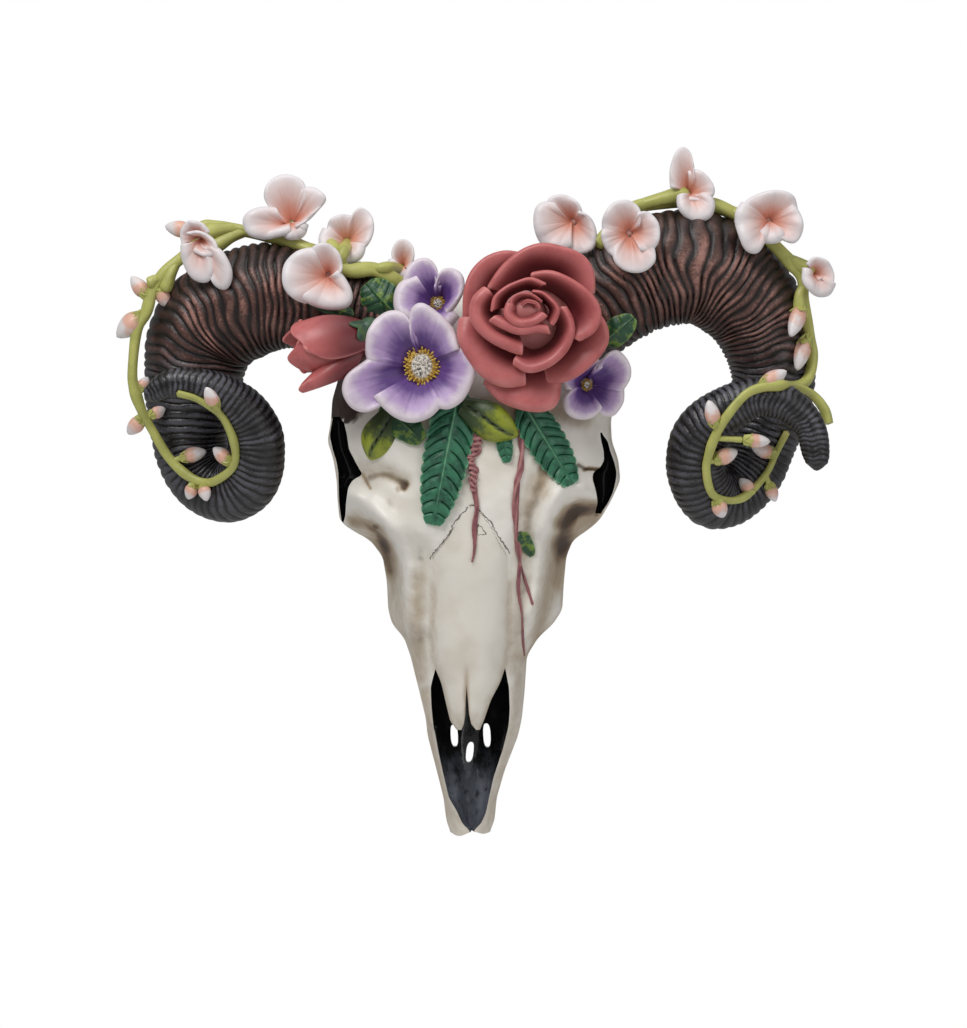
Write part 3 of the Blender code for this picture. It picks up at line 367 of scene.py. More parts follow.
def sheet(name, columns, rows, place):
    """A grid shaped by place(across, along), across from -1 to 1 and along from 0 to 1."""
    pick()
    bpy.ops.mesh.primitive_grid_add(x_subdivisions=columns, y_subdivisions=rows, size=2)
    piece = bpy.context.active_object
    piece.name = name
    flat = np.empty(len(piece.data.vertices) * 3)
    piece.data.vertices.foreach_get("co", flat)
    grid = flat.reshape(-1, 3)
    points = place(grid[:, 0], (grid[:, 1] + 1) / 2)
    piece.data.vertices.foreach_set("co", (np.stack(points, 1) * MM).astype(np.float32).ravel())
    piece.data.update()
    return piece


def weld(piece):
    """Close a wrapped grid's seam and its ends, and turn its faces outwards."""
    pick(piece)
    bpy.ops.object.mode_set(mode="EDIT")
    bpy.ops.mesh.select_all(action="SELECT")
    bpy.ops.mesh.remove_doubles(threshold=0.000004)
    bpy.ops.mesh.select_all(action="SELECT")
    bpy.ops.mesh.fill_holes(sides=0)
    bpy.ops.mesh.select_all(action="SELECT")
    bpy.ops.mesh.normals_make_consistent(inside=False)
    bpy.ops.object.mode_set(mode="OBJECT")
    return piece


def apply_modifier(piece, kind, **settings):
    """Add one modifier with its settings and apply it."""
    pick(piece)
    modifier = piece.modifiers.new(kind.title(), kind)
    for key, value in settings.items():
        setattr(modifier, key, value)
    bpy.ops.object.modifier_apply(modifier=modifier.name)


def thicken(piece, thickness, rounds=1):
    """Give a sheet its thickness and round its rim."""
    apply_modifier(piece, "SOLIDIFY", thickness=thickness * MM, offset=-1.0, use_even_offset=False)
    if rounds:
        apply_modifier(piece, "SUBSURF", levels=rounds, render_levels=rounds)
    return piece


def carve(piece, cutter):
    """Cut the cutter's shape out of a piece and remove the cutter."""
    apply_modifier(piece, "BOOLEAN", operation="DIFFERENCE", solver="EXACT", object=cutter)
    bpy.data.meshes.remove(cutter.data)


def joined(name, pieces):
    """One piece of a given name, made of several."""
    pick(*pieces)
    if len(pieces) > 1:
        bpy.ops.object.join()
    pieces[0].name = name
    pieces[0].data.name = name
    return pieces[0]


def store(piece, name, values):
    """Keep one value a point under a name that the finishes read."""
    attribute = piece.data.attributes.get(name) or piece.data.attributes.new(name, "FLOAT", "POINT")
    attribute.data.foreach_set("value", np.asarray(values, np.float32))


def places_of(piece):
    """The piece's points, in millimetres."""
    flat = np.empty(len(piece.data.vertices) * 3)
    piece.data.vertices.foreach_get("co", flat)
    return flat.reshape(-1, 3) / MM


def relief_of(piece, passes, height):
    """How far each point stands out of its surroundings, -1 in a crevice and 1 on a ridge."""
    mesh = piece.data
    count = len(mesh.vertices)
    points = places_of(piece)
    ends = np.empty(len(mesh.edges) * 2, np.int32)
    mesh.edges.foreach_get("vertices", ends)
    first, second = ends[0::2], ends[1::2]
    degree = np.bincount(first, minlength=count) + np.bincount(second, minlength=count)
    smooth = points.copy()
    for _ in range(passes):
        total = np.stack([
            np.bincount(first, smooth[second, k], count) + np.bincount(second, smooth[first, k], count)
            for k in range(3)
        ], 1)
        smooth = 0.4 * smooth + 0.6 * total / np.maximum(degree, 1)[:, None]
    normals = np.empty(count * 3)
    mesh.vertices.foreach_get("normal", normals)
    out = ((points - smooth) * normals.reshape(-1, 3)).sum(1) / height
    return np.clip(out, -1, 1)


def paint_relief(piece, passes, height):
    """Store the relief of a piece for its finish."""
    store(piece, "relief", relief_of(piece, passes, height))


def finish(piece, material, nodes=(), angle=60):
    """Smooth a piece, give it its finish and let it ride in place of its CAD nodes."""
    pick(piece)
    bpy.ops.object.shade_smooth_by_angle(angle=math.radians(angle))
    if material:
        piece.data.materials.clear()
        piece.data.materials.append(material)
    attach(piece, "root")
    if nodes:
        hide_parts(*nodes)


def tube(name, samples, sides, flatness=1.0, swell=None, attributes=()):
    """A round tube along samples of (side, depth, height, radius), closed at both ends.

    swell and the attributes are functions of the turn round the tube and the row along it.
    """
    rows = len(samples) - 1
    centres = np.stack([samples[:, 0], -samples[:, 1], samples[:, 2]], 1)
    along = np.gradient(centres, axis=0)
    along /= np.linalg.norm(along, axis=1)[:, None]
    front = np.array([0.0, -1.0, 0.0]) - along * (along @ np.array([0.0, -1.0, 0.0]))[:, None]
    front /= np.maximum(np.linalg.norm(front, axis=1), 1e-6)[:, None]
    across = np.cross(along, front)
    grid = {}

    def place(s, t):
        row = np.rint(t * rows).astype(int)
        turn = math.pi * s
        grid["turn"], grid["row"] = turn, row
        radius = samples[row, 3] * (swell(turn, row) if swell else 1)
        radius = np.where((row == 0) | (row == rows), radius * 0.001, radius)
        offset = across[row] * (radius * np.cos(turn))[:, None]
        offset = offset + front[row] * (radius * flatness * np.sin(turn))[:, None]
        return (centres[row] + offset).T

    piece = sheet(name, sides, rows, place)
    for key, value in dict(attributes).items():
        store(piece, key, value(grid["turn"], grid["row"]))
    return weld(piece)


def paint(red, green, blue):
    """A colour as the eye reads it, 0 to 255, as linear light."""
    def linear(value):
        share = value / 255
        return share / 12.92 if share <= 0.04045 else ((share + 0.055) / 1.055) ** 2.4
    return (linear(red), linear(green), linear(blue), 1.0)


class Value:
    """A shader socket that takes sums, so a pattern reads as a formula."""

    def __init__(self, coat, socket):
        self.coat = coat
        self.socket = socket

    def sum_node(self, operation, first, second):
        made = self.coat.node("ShaderNodeMath", {"operation": operation}, {0: first, 1: second})
        return Value(self.coat, made.outputs[0])

    def __add__(self, other):
        return self.sum_node("ADD", self, other)

    def __radd__(self, other):
        return self.sum_node("ADD", other, self)

    def __sub__(self, other):
        return self.sum_node("SUBTRACT", self, other)

    def __rsub__(self, other):
        return self.sum_node("SUBTRACT", other, self)

    def __mul__(self, other):
        return self.sum_node("MULTIPLY", self, other)

    def __rmul__(self, other):
        return self.sum_node("MULTIPLY", other, self)

    def __truediv__(self, other):
        return self.sum_node("DIVIDE", self, other)

    def __rtruediv__(self, other):
        return self.sum_node("DIVIDE", other, self)

    def __pow__(self, other):
        return self.sum_node("POWER", self, other)

    def least(self, other):
        return self.sum_node("MINIMUM", self, other)

    def most(self, other):
        return self.sum_node("MAXIMUM", self, other)

    def between(self, low, high):
        """0 below low, 1 above high, smooth between; falls where low is the greater."""
        first, last = (0.0, 1.0) if low < high else (1.0, 0.0)
        ends = {0: self, 1: min(low, high), 2: max(low, high), 3: first, 4: last}
        made = self.coat.node("ShaderNodeMapRange", {"interpolation_type": "SMOOTHSTEP"}, ends)
        return Value(self.coat, made.outputs[0])


class Finish:
    """A painted finish: a material whose nodes are written as formulas."""

    def __init__(self, name):
        self.material = bpy.data.materials.new(name)
        self.material.use_nodes = True
        self.tree = self.material.node_tree
        self.shader = self.tree.nodes["Principled BSDF"]
        self.place = self.node("ShaderNodeTexCoord").outputs["Object"]

    def node(self, kind, settings=None, inputs=None):
        """One node of a type, with its settings first and then its sockets' values or links."""
        made = self.tree.nodes.new(kind)
        for key, value in (settings or {}).items():
            setattr(made, key, value)
        self.feed(made, inputs or {})
        return made

    def feed(self, node, inputs):
        """Lead values or links to a node's sockets."""
        for key, value in inputs.items():
            if isinstance(value, Value):
                value = value.socket
            if isinstance(value, bpy.types.NodeSocket):
                self.tree.links.new(value, node.inputs[key])
            else:
                node.inputs[key].default_value = value

    def axes(self, vector=None):
        """The three values of a vector, or of the place on the piece."""
        parts = self.node("ShaderNodeSeparateXYZ", None, {0: vector or self.place}).outputs
        return [Value(self, part) for part in parts]

    def across_along(self):
        """A petal's own two directions, from its UV map."""
        return self.axes(self.node("ShaderNodeTexCoord").outputs["UV"])[:2]

    def attribute(self, name):
        """A value stored on the piece."""
        return Value(self, self.node("ShaderNodeAttribute", {"attribute_name": name}).outputs["Fac"])

    def noise(self, size, detail=3.0):
        """Cloudy noise about 0, from about -1 to 1, with spots a size in millimetres apart."""
        made = self.node("ShaderNodeTexNoise", None, {
            "Vector": self.place, "Scale": 1 / (size * MM), "Detail": detail, "Roughness": 0.55,
        })
        return (Value(self, made.outputs[0]) - 0.5) * 4

    def streaks(self, along, across):
        """Noise like that of noise(), on two values of its own, for streaks along a petal."""
        vector = self.node("ShaderNodeCombineXYZ", None, {0: across, 1: along}).outputs[0]
        made = self.node("ShaderNodeTexNoise", None, {"Vector": vector, "Scale": 1.0, "Detail": 2.0})
        return (Value(self, made.outputs[0]) - 0.5) * 4

    def blend(self, first, second, share):
        """The first colour where the share is 0 and the second where it is 1."""
        settings = {"data_type": "RGBA", "clamp_factor": True}
        return self.node("ShaderNodeMix", settings, {0: share, 6: first, 7: second}).outputs[2]

    def near_line(self, start, end, width, wobble):
        """1 on a line from one (side, height) to another, 0 beyond its width, with a jagged course."""
        x, _, z = self.axes()
        x = x / MM + self.noise(1.6, 1.0) * wobble
        z = z / MM + self.noise(2.1, 1.0) * wobble
        dx, dz = end[0] - start[0], end[1] - start[1]
        length = dx * dx + dz * dz
        share = (((x - start[0]) * dx + (z - start[1]) * dz) / length).most(0.0).least(1.0)
        across, up = x - start[0] - share * dx, z - start[1] - share * dz
        return ((across * across + up * up) ** 0.5).between(width, width * 0.3)

    def done(self, colour, roughness, bump=None, strength=0.5, distance=0.4, **constants):
        """Lead colour, roughness and bump to the shader; constants are set on its own sockets."""
        self.feed(self.shader, {"Base Color": colour, "Roughness": roughness})
        if bump is not None:
            relief = {"Strength": strength, "Distance": distance * MM, "Height": bump}
            self.feed(self.shader, {"Normal": self.node("ShaderNodeBump", None, relief).outputs[0]})
        self.feed(self.shader, {key.replace("_", " "): value for key, value in constants.items()})
        return self.material


# Settings

def size_of(name, description, default):
    return bpy.props.FloatProperty(
        name=name, description=description, default=default, unit="LENGTH", precision=4)


def share_of(name, description, default, top):
    return bpy.props.FloatProperty(
        name=name, description=description, default=default, min=0, max=top, subtype="FACTOR")


def power_of(name, description, default):
    return bpy.props.FloatProperty(name=name, description=description, default=default, unit="POWER")


def colour_of(name, description, default):
    return bpy.props.FloatVectorProperty(
        name=name, description=description, default=default, size=4, min=0, max=1, subtype="COLOR")


class ORNAMENT_PG_skull(bpy.types.PropertyGroup):
    bone: colour_of("Bone", "Colour of the smooth, raised bone", paint(235, 229, 218))
    # This brown serves both the wash and the painted shade of the face's hollows
    wash_and_shade: colour_of("Wash", "Brown wash that has gathered in the hollows", paint(112, 84, 56))
    cavity: colour_of("Cavity", "Gloss black inside the nose and the orbits", paint(16, 16, 18))
    grain: size_of("Grain", "Height of the bone's fine unevenness", 0.00012)


class ORNAMENT_PG_horns(bpy.types.PropertyGroup):
    base: colour_of("Base", "Red brown near the skull", paint(84, 55, 48))
    curl: colour_of("Curl", "Charcoal on the curls", paint(44, 41, 42))
    ridge: share_of("Ridge height", "Height of a ridge as a share of the horn's radius", 0.075, 0.2)
    spacing: share_of("Ridge spacing", "Share of the horn's radius added to the shortest ridge", 0.08, 0.5)
    shortest: size_of("Shortest ridge", "Length of a ridge along the horn before that share is added", 0.0017)


class ORNAMENT_PG_flowers(bpy.types.PropertyGroup):
    rose: colour_of("Rose", "Dusty red of the rose", paint(194, 106, 104))
    violet: colour_of("Violet", "Violet of the anemones", paint(174, 146, 190))
    blossom: colour_of("Blossom", "Pale pink of the blossoms", paint(228, 204, 200))
    throat: colour_of("Throat", "Salmon throat of the blossoms", paint(222, 156, 134))
    petal: size_of("Petal thickness", "Thickness of a petal of an anemone or a blossom", 0.0015)


class ORNAMENT_PG_greens(bpy.types.PropertyGroup):
    leaf: colour_of("Leaf", "Blue green of the ferns", paint(52, 116, 86))
    olive: colour_of("Olive", "Olive of the closed buds", paint(84, 98, 36))
    root: colour_of("Root", "Mauve of the hanging roots", paint(148, 92, 96))
    vine: colour_of("Vine", "Yellow green of the vines", paint(158, 164, 84))
    leaf_thickness: size_of("Leaf thickness", "Thickness of a leaf", 0.0012)


class ORNAMENT_PG_stage(bpy.types.PropertyGroup):
    floor_drop: size_of("Floor drop", "Height of the floor below the ornament's middle", 0.32)
    camera_distance: size_of("Camera distance", "Distance of the camera from the ornament", 2.95)
    key_power: power_of("Key light", "Power of the main soft light", 19)
    fill_power: power_of("Fill light", "Power of the fill light", 4.5)


GROUPS = {
    "ornament_skull": ORNAMENT_PG_skull, "ornament_horns": ORNAMENT_PG_horns,
    "ornament_flowers": ORNAMENT_PG_flowers, "ornament_greens": ORNAMENT_PG_greens,
    "ornament_stage": ORNAMENT_PG_stage,
}


# Skull

def bone_finish(settings):
    """Aged bone: pale where it is raised, with a painted highlight on its broad raised forms; brown where
    wash has gathered and where painted shade darkens its hollows, with drawn sutures.
    """
    coat = Finish("aged_bone")
    relief, wash_and_shade, broad_shading = coat.attribute("relief"), coat.attribute("wash_and_shade"), coat.attribute("broad_shading")
    mottle, grain, cloud = coat.noise(4.5), coat.noise(0.9), coat.noise(18, 2.0)
    # Brown wash in the crevices, which also paints their shade
    crevice = (relief * -1.0 + mottle * 0.12).between(0.25, 1.0)
    # The brown wash together with painted shade from the broad hollows
    stain_and_shade = wash_and_shade + (broad_shading * -0.6).most(0.0) + mottle * 0.07 + grain * 0.025
    pale = coat.blend(settings.bone, paint(220, 211, 197), (cloud * 0.5 + 0.5).between(0.3, 1.0))
    # A painted highlight on the raised parts, partly dry brushing
    pale = coat.blend(pale, paint(246, 243, 236), (relief + broad_shading).between(0.15, 1.2) * 0.6)
    tan = coat.blend(pale, paint(178, 158, 130), stain_and_shade.between(0.1, 0.6) * 0.9)
    brown = coat.blend(tan, settings.wash_and_shade, stain_and_shade.between(0.5, 0.95) * 0.9)
    # Darkest where the wash and the painted shade are strongest, and in the crevices
    gathered = (stain_and_shade.between(0.85, 1.2) * 0.9).most(crevice * 0.65)
    dark = coat.blend(brown, paint(58, 40, 27), gathered)
    burn = (coat.attribute("burn") + mottle * 0.12).between(0.2, 0.7)
    dark = coat.blend(dark, paint(58, 41, 36), burn)
    crack = None
    for start, end in CRACKS:
        line = coat.near_line(start, end, 0.4, 0.45)
        crack = line if crack is None else crack.most(line)
    _, depth, _ = coat.axes()
    crack = crack * (depth / -MM).between(40, 50) * (mottle * 0.5 + 1.0).between(0.35, 0.9)
    colour = coat.blend(dark, paint(70, 52, 38), crack * 0.85)
    bump = mottle * 0.2 + grain * 0.25 - crack * 1.8
    rough = (stain_and_shade * 0.16 + 0.42).least(0.75)
    return coat.done(colour, rough, bump, 0.5, settings.grain / MM * 2)


def cavity_finish(settings):
    """Gloss black, with a painted bluish grey reflection low down in the nose."""
    coat = Finish("gloss_black")
    cloud = coat.noise(6)
    _, depth, height = coat.axes()
    # A painted reflection: bluish grey low in the nose
    painted_sheen = (height / MM + cloud * 6).between(-128, -152) * (depth / -MM).between(34, 16)
    colour = coat.blend(settings.cavity, paint(128, 132, 144), painted_sheen * 0.75)
    colour = coat.blend(colour, paint(36, 34, 36), (cloud * 0.5 + 0.5).between(0.5, 1.0))
    return coat.done(colour, cloud * 0.04 + 0.2, cloud, 0.3, 0.5, Coat_Weight=0.5)


def well(name, rows, floor, mouth, form=None):
    """A cutter for a deep opening, from rows of (height, left side, right side)."""
    top, bottom = rows[0][0] + WELL_END, rows[-1][0] - WELL_END

    def place(s, t):
        heights = top + (bottom - top) * t
        left, right = read_smooth(rows, heights, 1, 0.9), read_smooth(rows, heights, 2, 0.9)
        turn = math.pi * s
        side = (left + right) / 2 + (right - left) / 2 * np.cos(turn)
        back = np.clip(np.sin(turn), 0, 1) ** 0.45
        depth = mouth - (mouth - floor) * back
        if form:
            depth = depth + form(side, heights) * (back > 0.5)
        depth = np.where(np.sin(turn) < -0.001, mouth + WELL_OVER, depth)
        return side, -depth, heights

    return weld(sheet(name, 48, max(24, int((top - bottom) * 1.2)), place))


def cavity_floor_form(sides, heights):
    """The two lobes and the groove on the floor of the nose."""
    middle = -3.2 + 0.02 * (heights + 140)
    off = sides - middle
    lobes = 5.5 * np.exp(-((np.abs(off) - 4.6) / 2.6) ** 2) * step(-128, -152, heights)
    return lobes + 1.5 * np.exp(-(off / 1.2) ** 2) * step(-118, -128, heights) * step(-146, -136, heights)


def slot_cutter(side, height, half_height, lean):
    """A cutter for one upright slot, from inside the nose to behind the back."""
    def place(s, t):
        turn = math.pi * s
        x = side + SLOT_HALF_WIDTH * squared(np.cos(turn), 0.7) + lean * np.sin(turn)
        z = height + half_height * squared(np.sin(turn), 0.8)
        return x, -SLOT_START - SLOT_LENGTH * t, z
    return weld(sheet("slot_cutter", 20, 3, place))


def build_skull(settings):
    """The skull in one piece, from its brow to its chin, with the openings cut into it."""
    middle, half = (SKULL_TOP + SKULL_FOOT) / 2, (SKULL_TOP - SKULL_FOOT) / 2

    def place(s, t):
        wide = np.clip(s / FRONT_WIDTH, -1, 1)
        tall = np.clip((t - 0.5) / FRONT_HEIGHT, -1, 1)
        past_side = (np.abs(s) - FRONT_WIDTH) / (1 - FRONT_WIDTH)
        past_end = (np.abs(t - 0.5) - FRONT_HEIGHT) / (0.5 - FRONT_HEIGHT)
        back = np.clip(np.maximum(past_side, past_end), 0, 1)
        heights = middle + half * tall
        left, right = read_smooth(SKULL_EDGES, heights, 1), read_smooth(SKULL_EDGES, heights, 2)
        sides = (left + right) / 2 + (right - left) / 2 * np.sin(wide * math.pi / 2)
        lift = 2.7 - sum(hang * np.exp(-((sides - side) / reach) ** 2) for side, reach, hang in CHIN_LOBES)
        heights = heights + lift * step(SKULL_FOOT + 10, SKULL_FOOT, heights)
        depth = face_depth(sides, heights)
        inside = nasal_inside(sides, heights)
        bed = step(0.8, 1.6, inside)
        groove = np.exp(-((inside - 0.4) / 2.6) ** 2) * step(-38, -54, heights)
        depth = depth - 3.2 * bed - 2.0 * groove
        flat = np.stack([sides, depth, heights], 1)
        depth = depth + 0.2 * unevenness(flat, 12, 3) + 0.07 * unevenness(flat, 5, 5)
        depth = np.minimum(depth, FRONT_LIMIT)
        return sides, -depth * (1 - back), heights

    skull = weld(sheet("skull", SKULL_COLUMNS, SKULL_ROWS, place))
    bone, black = bone_finish(settings), cavity_finish(settings)
    skull.data.materials.append(bone)
    skull.data.materials.append(black)
    cutters = [
        well("nasal_cavity_cutter", CAVITY, CAVITY_FLOOR, CAVITY_MOUTH, cavity_floor_form),
        well("orbit_left_cutter", ORBIT_LEFT, ORBIT_FLOOR, ORBIT_MOUTH),
        well("orbit_right_cutter", ORBIT_RIGHT, ORBIT_FLOOR, ORBIT_MOUTH),
    ] + [slot_cutter(*slot) for slot in SLOTS]
    for cutter in cutters:
        for material in (bone, black):
            cutter.data.materials.append(material)
        cutter.data.polygons.foreach_set("material_index", np.ones(len(cutter.data.polygons), np.int32))
        carve(skull, cutter)
    points = places_of(skull)
    sides, heights = points[:, 0], points[:, 2]
    wash_and_shade = np.zeros(len(points))
    for strength, reach, line in FACE_WASH_AND_SHADE:
        wash_and_shade = np.maximum(wash_and_shade, strength * np.exp(-(reach_to(line, sides, heights) / reach) ** 2))
    left, right = read(SKULL_EDGES, heights, 1), read(SKULL_EDGES, heights, 2)
    edge = np.minimum(sides - left, right - sides)
    # Painted shade along the outline, where the face turns back to the wall
    wash_and_shade = np.maximum(wash_and_shade, 0.34 * step(3.0, 0.0, edge))
    inside = nasal_inside(sides, heights)
    # Brown wash and painted shade in the grooves beside the nasal bones
    wash_and_shade = np.maximum(wash_and_shade, 0.36 * np.exp(-((inside - 0.2) / 3.2) ** 2) * step(-46, -60, heights))
    ragged = 2.2 * unevenness(points, 7, 9) + 1.2 * unevenness(points, 2.6, 4)
    burn = step(8, 17, heights + ragged) * step(-43, -55, sides + ragged)
    # The flat back has a few large faces, so its paint is kept even
    wall = points[:, 1] > -0.5
    # The broad relief gives painted shade in the broad hollows and a painted highlight on the broad raised
    # forms
    store(skull, "broad_shading", np.where(wall, 0, relief_of(skull, 360, 2.6)))
    store(skull, "relief", np.where(wall, 0, relief_of(skull, 50, 1.1)))
    store(skull, "wash_and_shade", np.where(wall, 0.25, wash_and_shade))
    store(skull, "burn", np.where(wall, 0, burn))
    return skull


def build_nasal():
    """The two nasal bones, one pillow above and parted by a slit at their free tips."""
    bones = []
    for name, outer, inner in (("nasal_left", 1, 2), ("nasal_right", 4, 3)):
        def place(s, t):
            turn = math.pi * s
            heights = NASAL_TOP + (NASAL_FOOT - NASAL_TOP) * t
            start = read_smooth(NASAL_EDGES, heights, outer)
            middle = (read(NASAL_EDGES, heights, 2) + read(NASAL_EDGES, heights, 3)) / 2
            end = middle + (read(NASAL_EDGES, heights, inner) - middle) * step(-100, -110, heights)
            half = np.abs(end - start) / 2
            side = (start + end) / 2 + (start - end) / 2 * squared(np.cos(turn), 0.75)
            left, right = read_smooth(NASAL_EDGES, heights, 1), read_smooth(NASAL_EDGES, heights, 4)
            whole = (side - (left + right) / 2) / ((right - left) / 2)
            top = face_depth(side, np.maximum(heights, NASAL_FOOT)) + 2.6 * step(-26, -60, heights)
            top = top - 4.6 * np.abs(whole) ** 2.4 * step(-30, -56, heights) - 1.4 * step(-112, -121, heights)
            top = top + 0.9 * step(-60, -84, heights)
            top = top - 0.9 * np.exp(-((side - middle) / 1.6) ** 2) * step(-86, -104, heights)
            thick = np.minimum(NASAL_THICKNESS, 1.2 + half * 0.9)
            rounded = np.abs(np.sin(turn)) ** 0.4
            rounded = np.where(np.cos(turn) < 0, rounded + (1 - rounded) * step(-110, -100, heights), rounded)
            share = np.where(np.sin(turn) >= 0, 1 - rounded, 1 + rounded)
            depth = top - 0.5 * thick * share
            return side, -np.minimum(depth, FRONT_LIMIT + 1), heights
        bones.append(weld(sheet(name, 64, 180, place)))
    nasal = joined("nasal_bones_shield", bones)
    points = places_of(nasal)
    paint_relief(nasal, 60, 1.4)
    inside = nasal_inside(points[:, 0], points[:, 2])
    # Brown wash mixed with painted shade: along the bones' edges, in the slit, and darker towards their free
    # tips
    wash_and_shade = 0.34 * step(5.0, 0.0, inside) * step(-46, -64, points[:, 2])
    slit = reach_to([(-3.6, -90), (-3.6, -119)], points[:, 0], points[:, 2])
    wash_and_shade = np.maximum(wash_and_shade, 0.5 * np.exp(-(slit / 1.6) ** 2) * step(-84, -104, points[:, 2]))
    wash_and_shade = np.maximum(wash_and_shade, 0.3 * step(-106, -121, points[:, 2]))
    store(nasal, "wash_and_shade", wash_and_shade)
    return nasal


class ORNAMENT_OT_skull(bpy.types.Operator):
    """Build the skull with its orbits, nasal cavity and nasal bones"""
    bl_idname = "ornament.skull"
    bl_label = "Skull"

    def execute(self, context):
        settings = context.scene.ornament_skull
        skull = build_skull(settings)
        finish(skull, None, ("cranium", "upper_jaw"), 50)
        nasal = build_nasal()
        finish(nasal, bpy.data.materials["aged_bone"], ("nasal_bones",), 50)
        return {"FINISHED"}


# Horns

def horn_finish(settings):
    """Red brown that turns to charcoal on the curl, with dark grooves and dry brushing on the ridges that is
    also a painted highlight, bluish grey on the curl and strongest towards the light; painted shade on the
    side turned from the light and on the lower facet.
    """
    coat = Finish("ridged_horn")
    ridge, along, facing_light, under = (coat.attribute(name) for name in ("ridge", "along", "facing_light", "under"))
    fine, blotch, streak = coat.noise(1.0), coat.noise(8), coat.noise(3)
    shift = (along + blotch * 0.04).between(0.34, 0.47)
    body = coat.blend(settings.base, settings.curl, shift)
    groove = coat.blend(paint(26, 15, 14), paint(10, 10, 12), shift)
    colour = coat.blend(groove, body, (ridge + fine * 0.06 + streak * 0.05).between(0.38, 0.72))
    # Dry brushing on the ridges that is also a painted highlight: pinkish brown near the skull, bluish grey
    # on the curl, strongest towards the light
    brushed_and_highlight = coat.blend(paint(168, 122, 110), paint(90, 90, 100), shift)
    mask = (ridge + fine * 0.14 + blotch * 0.18 + shift * 0.06).between(0.66, 1.06)
    colour = coat.blend(colour, brushed_and_highlight, mask * (facing_light.between(-0.1, 0.7) * 0.75 + 0.1))
    # Painted shade on the side turned from the light and on the flat lower facet
    shade = (facing_light + streak * 0.05).between(0.16, -0.2) * (shift * -0.6 + 1.0)
    colour = coat.blend(colour, paint(22, 14, 13), (shade * 0.75).most(under * 0.7))
    rough = 0.42 + fine * 0.05 - shift * 0.12
    return coat.done(colour, rough, fine * 0.4 + streak * 0.3, 0.4, 0.3)


def build_horn(name, points, settings, mirrored):
    """A horn with its ridges, as one round tube along its route."""
    samples = smooth_route(points, HORN_ROWS + 1)
    length = np.concatenate([[0], np.cumsum(np.linalg.norm(np.diff(samples[:, :3], axis=0), axis=1))])
    spacing = settings.spacing * samples[:, 3] + settings.shortest / MM
    phase = np.concatenate([[0], np.cumsum(np.diff(length) / ((spacing[1:] + spacing[:-1]) / 2))])
    along = np.linspace(0, 1, HORN_ROWS + 1)
    ridges = int(phase[-1]) + 3
    jitter = np.random.RandomState(7 if mirrored else 5).uniform(0.7, 1.1, ridges)

    def ridge(turn, row):
        """Height of the ridges, from 0 in a groove to about 1, wavering round the horn."""
        ring = np.stack([np.cos(turn) * 16, np.sin(turn) * 16, length[row]], 1)
        waver = 0.6 * unevenness(ring, 24, 11) + 0.14 * unevenness(ring, 8, 17)
        waver = waver * (1 - 0.6 * step(0.35, 0.55, along[row])) + 0.2 * np.sin(2 * turn)
        wave = np.abs(np.sin(math.pi * (phase[row] + waver)))
        height = np.interp(phase[row] + waver, np.arange(ridges) - 1, jitter)
        return wave ** 0.55 * height * (0.92 + 0.14 * unevenness(ring, 10, 13))

    def under(turn, row):
        """1 on the flat lower facet, on the inside of the bend before the curl, where the finish paints
        shade.
        """
        return step(0.42, 0.58, np.cos(turn) * (-1 if mirrored else 1)) * step(0.46, 0.34, along[row])

    def swell(turn, row):
        keel = 0
        for degrees, width, rise in HORN_KEEL:
            apart = turn - math.radians(180 - degrees if mirrored else degrees)
            keel = keel + rise * np.exp(-(np.angle(np.exp(1j * apart)) / width) ** 2)
        ends = np.clip(np.minimum(row / 4, (HORN_ROWS - row) / 10), 0, 1) ** 0.5
        height = settings.ridge * (1 - 0.3 * along[row]) * (ridge(turn, row) - 0.7)
        return (1 + height + keel * step(0.5, 0.3, along[row])) * np.maximum(ends, 0.02)

    painted = {"ridge": ridge, "under": under, "along": lambda turn, row: along[row]}
    horn = tube(name, samples, HORN_SIDES, HORN_FLATNESS, swell, painted)
    normals = np.empty(len(horn.data.vertices) * 3)
    horn.data.vertices.foreach_get("normal", normals)
    # How far each point faces the light, for the painted highlight and painted shade
    store(horn, "facing_light", np.clip(normals.reshape(-1, 3) @ np.array(HORN_LIT), -1, 1))
    return horn


class ORNAMENT_OT_horns(bpy.types.Operator):
    """Build the two ridged, curled horns"""
    bl_idname = "ornament.horns"
    bl_label = "Horns"

    def execute(self, context):
        settings = context.scene.ornament_horns
        material = horn_finish(settings)
        for side, points, mirrored in (("left", HORN_LEFT, False), ("right", HORN_RIGHT, True)):
            horn = build_horn("horn_" + side, points, settings, mirrored)
            nodes = [f"horn_{side}_{part}" for part in ("base", "arch", "drop", "curl", "tip")]
            finish(horn, material, nodes, 70)
        return {"FINISHED"}


# Petals

def petal(name, matrix, turn, root, length, width, tilt, narrow=0.8, thickness=0.6, rounds=0):
    """A short straight petal, such as a sepal, of a flower that looks along its own +Z."""
    spin = matrix @ Matrix.Rotation(math.radians(turn - 90), 4, "Z")
    slope = math.radians(tilt)

    def place(s, t):
        along = t * (1 - 0.5 * s * s * t)
        half = width / 2 * (narrow + (1 - narrow) * np.sin(math.pi / 2 * np.minimum(1, along / 0.65)))
        half = half * (1 - 0.3 * step(0.6, 1.0, along))
        reach = length * along
        swell = 0.2 * width * s * s
        points = [half * s, root + reach * math.cos(slope) - swell * math.sin(slope),
                  reach * math.sin(slope) + swell * math.cos(slope)]
        return moved(np.stack(points, 1), spin).T

    return thicken(sheet(name, 4, 6, place), thickness, rounds)


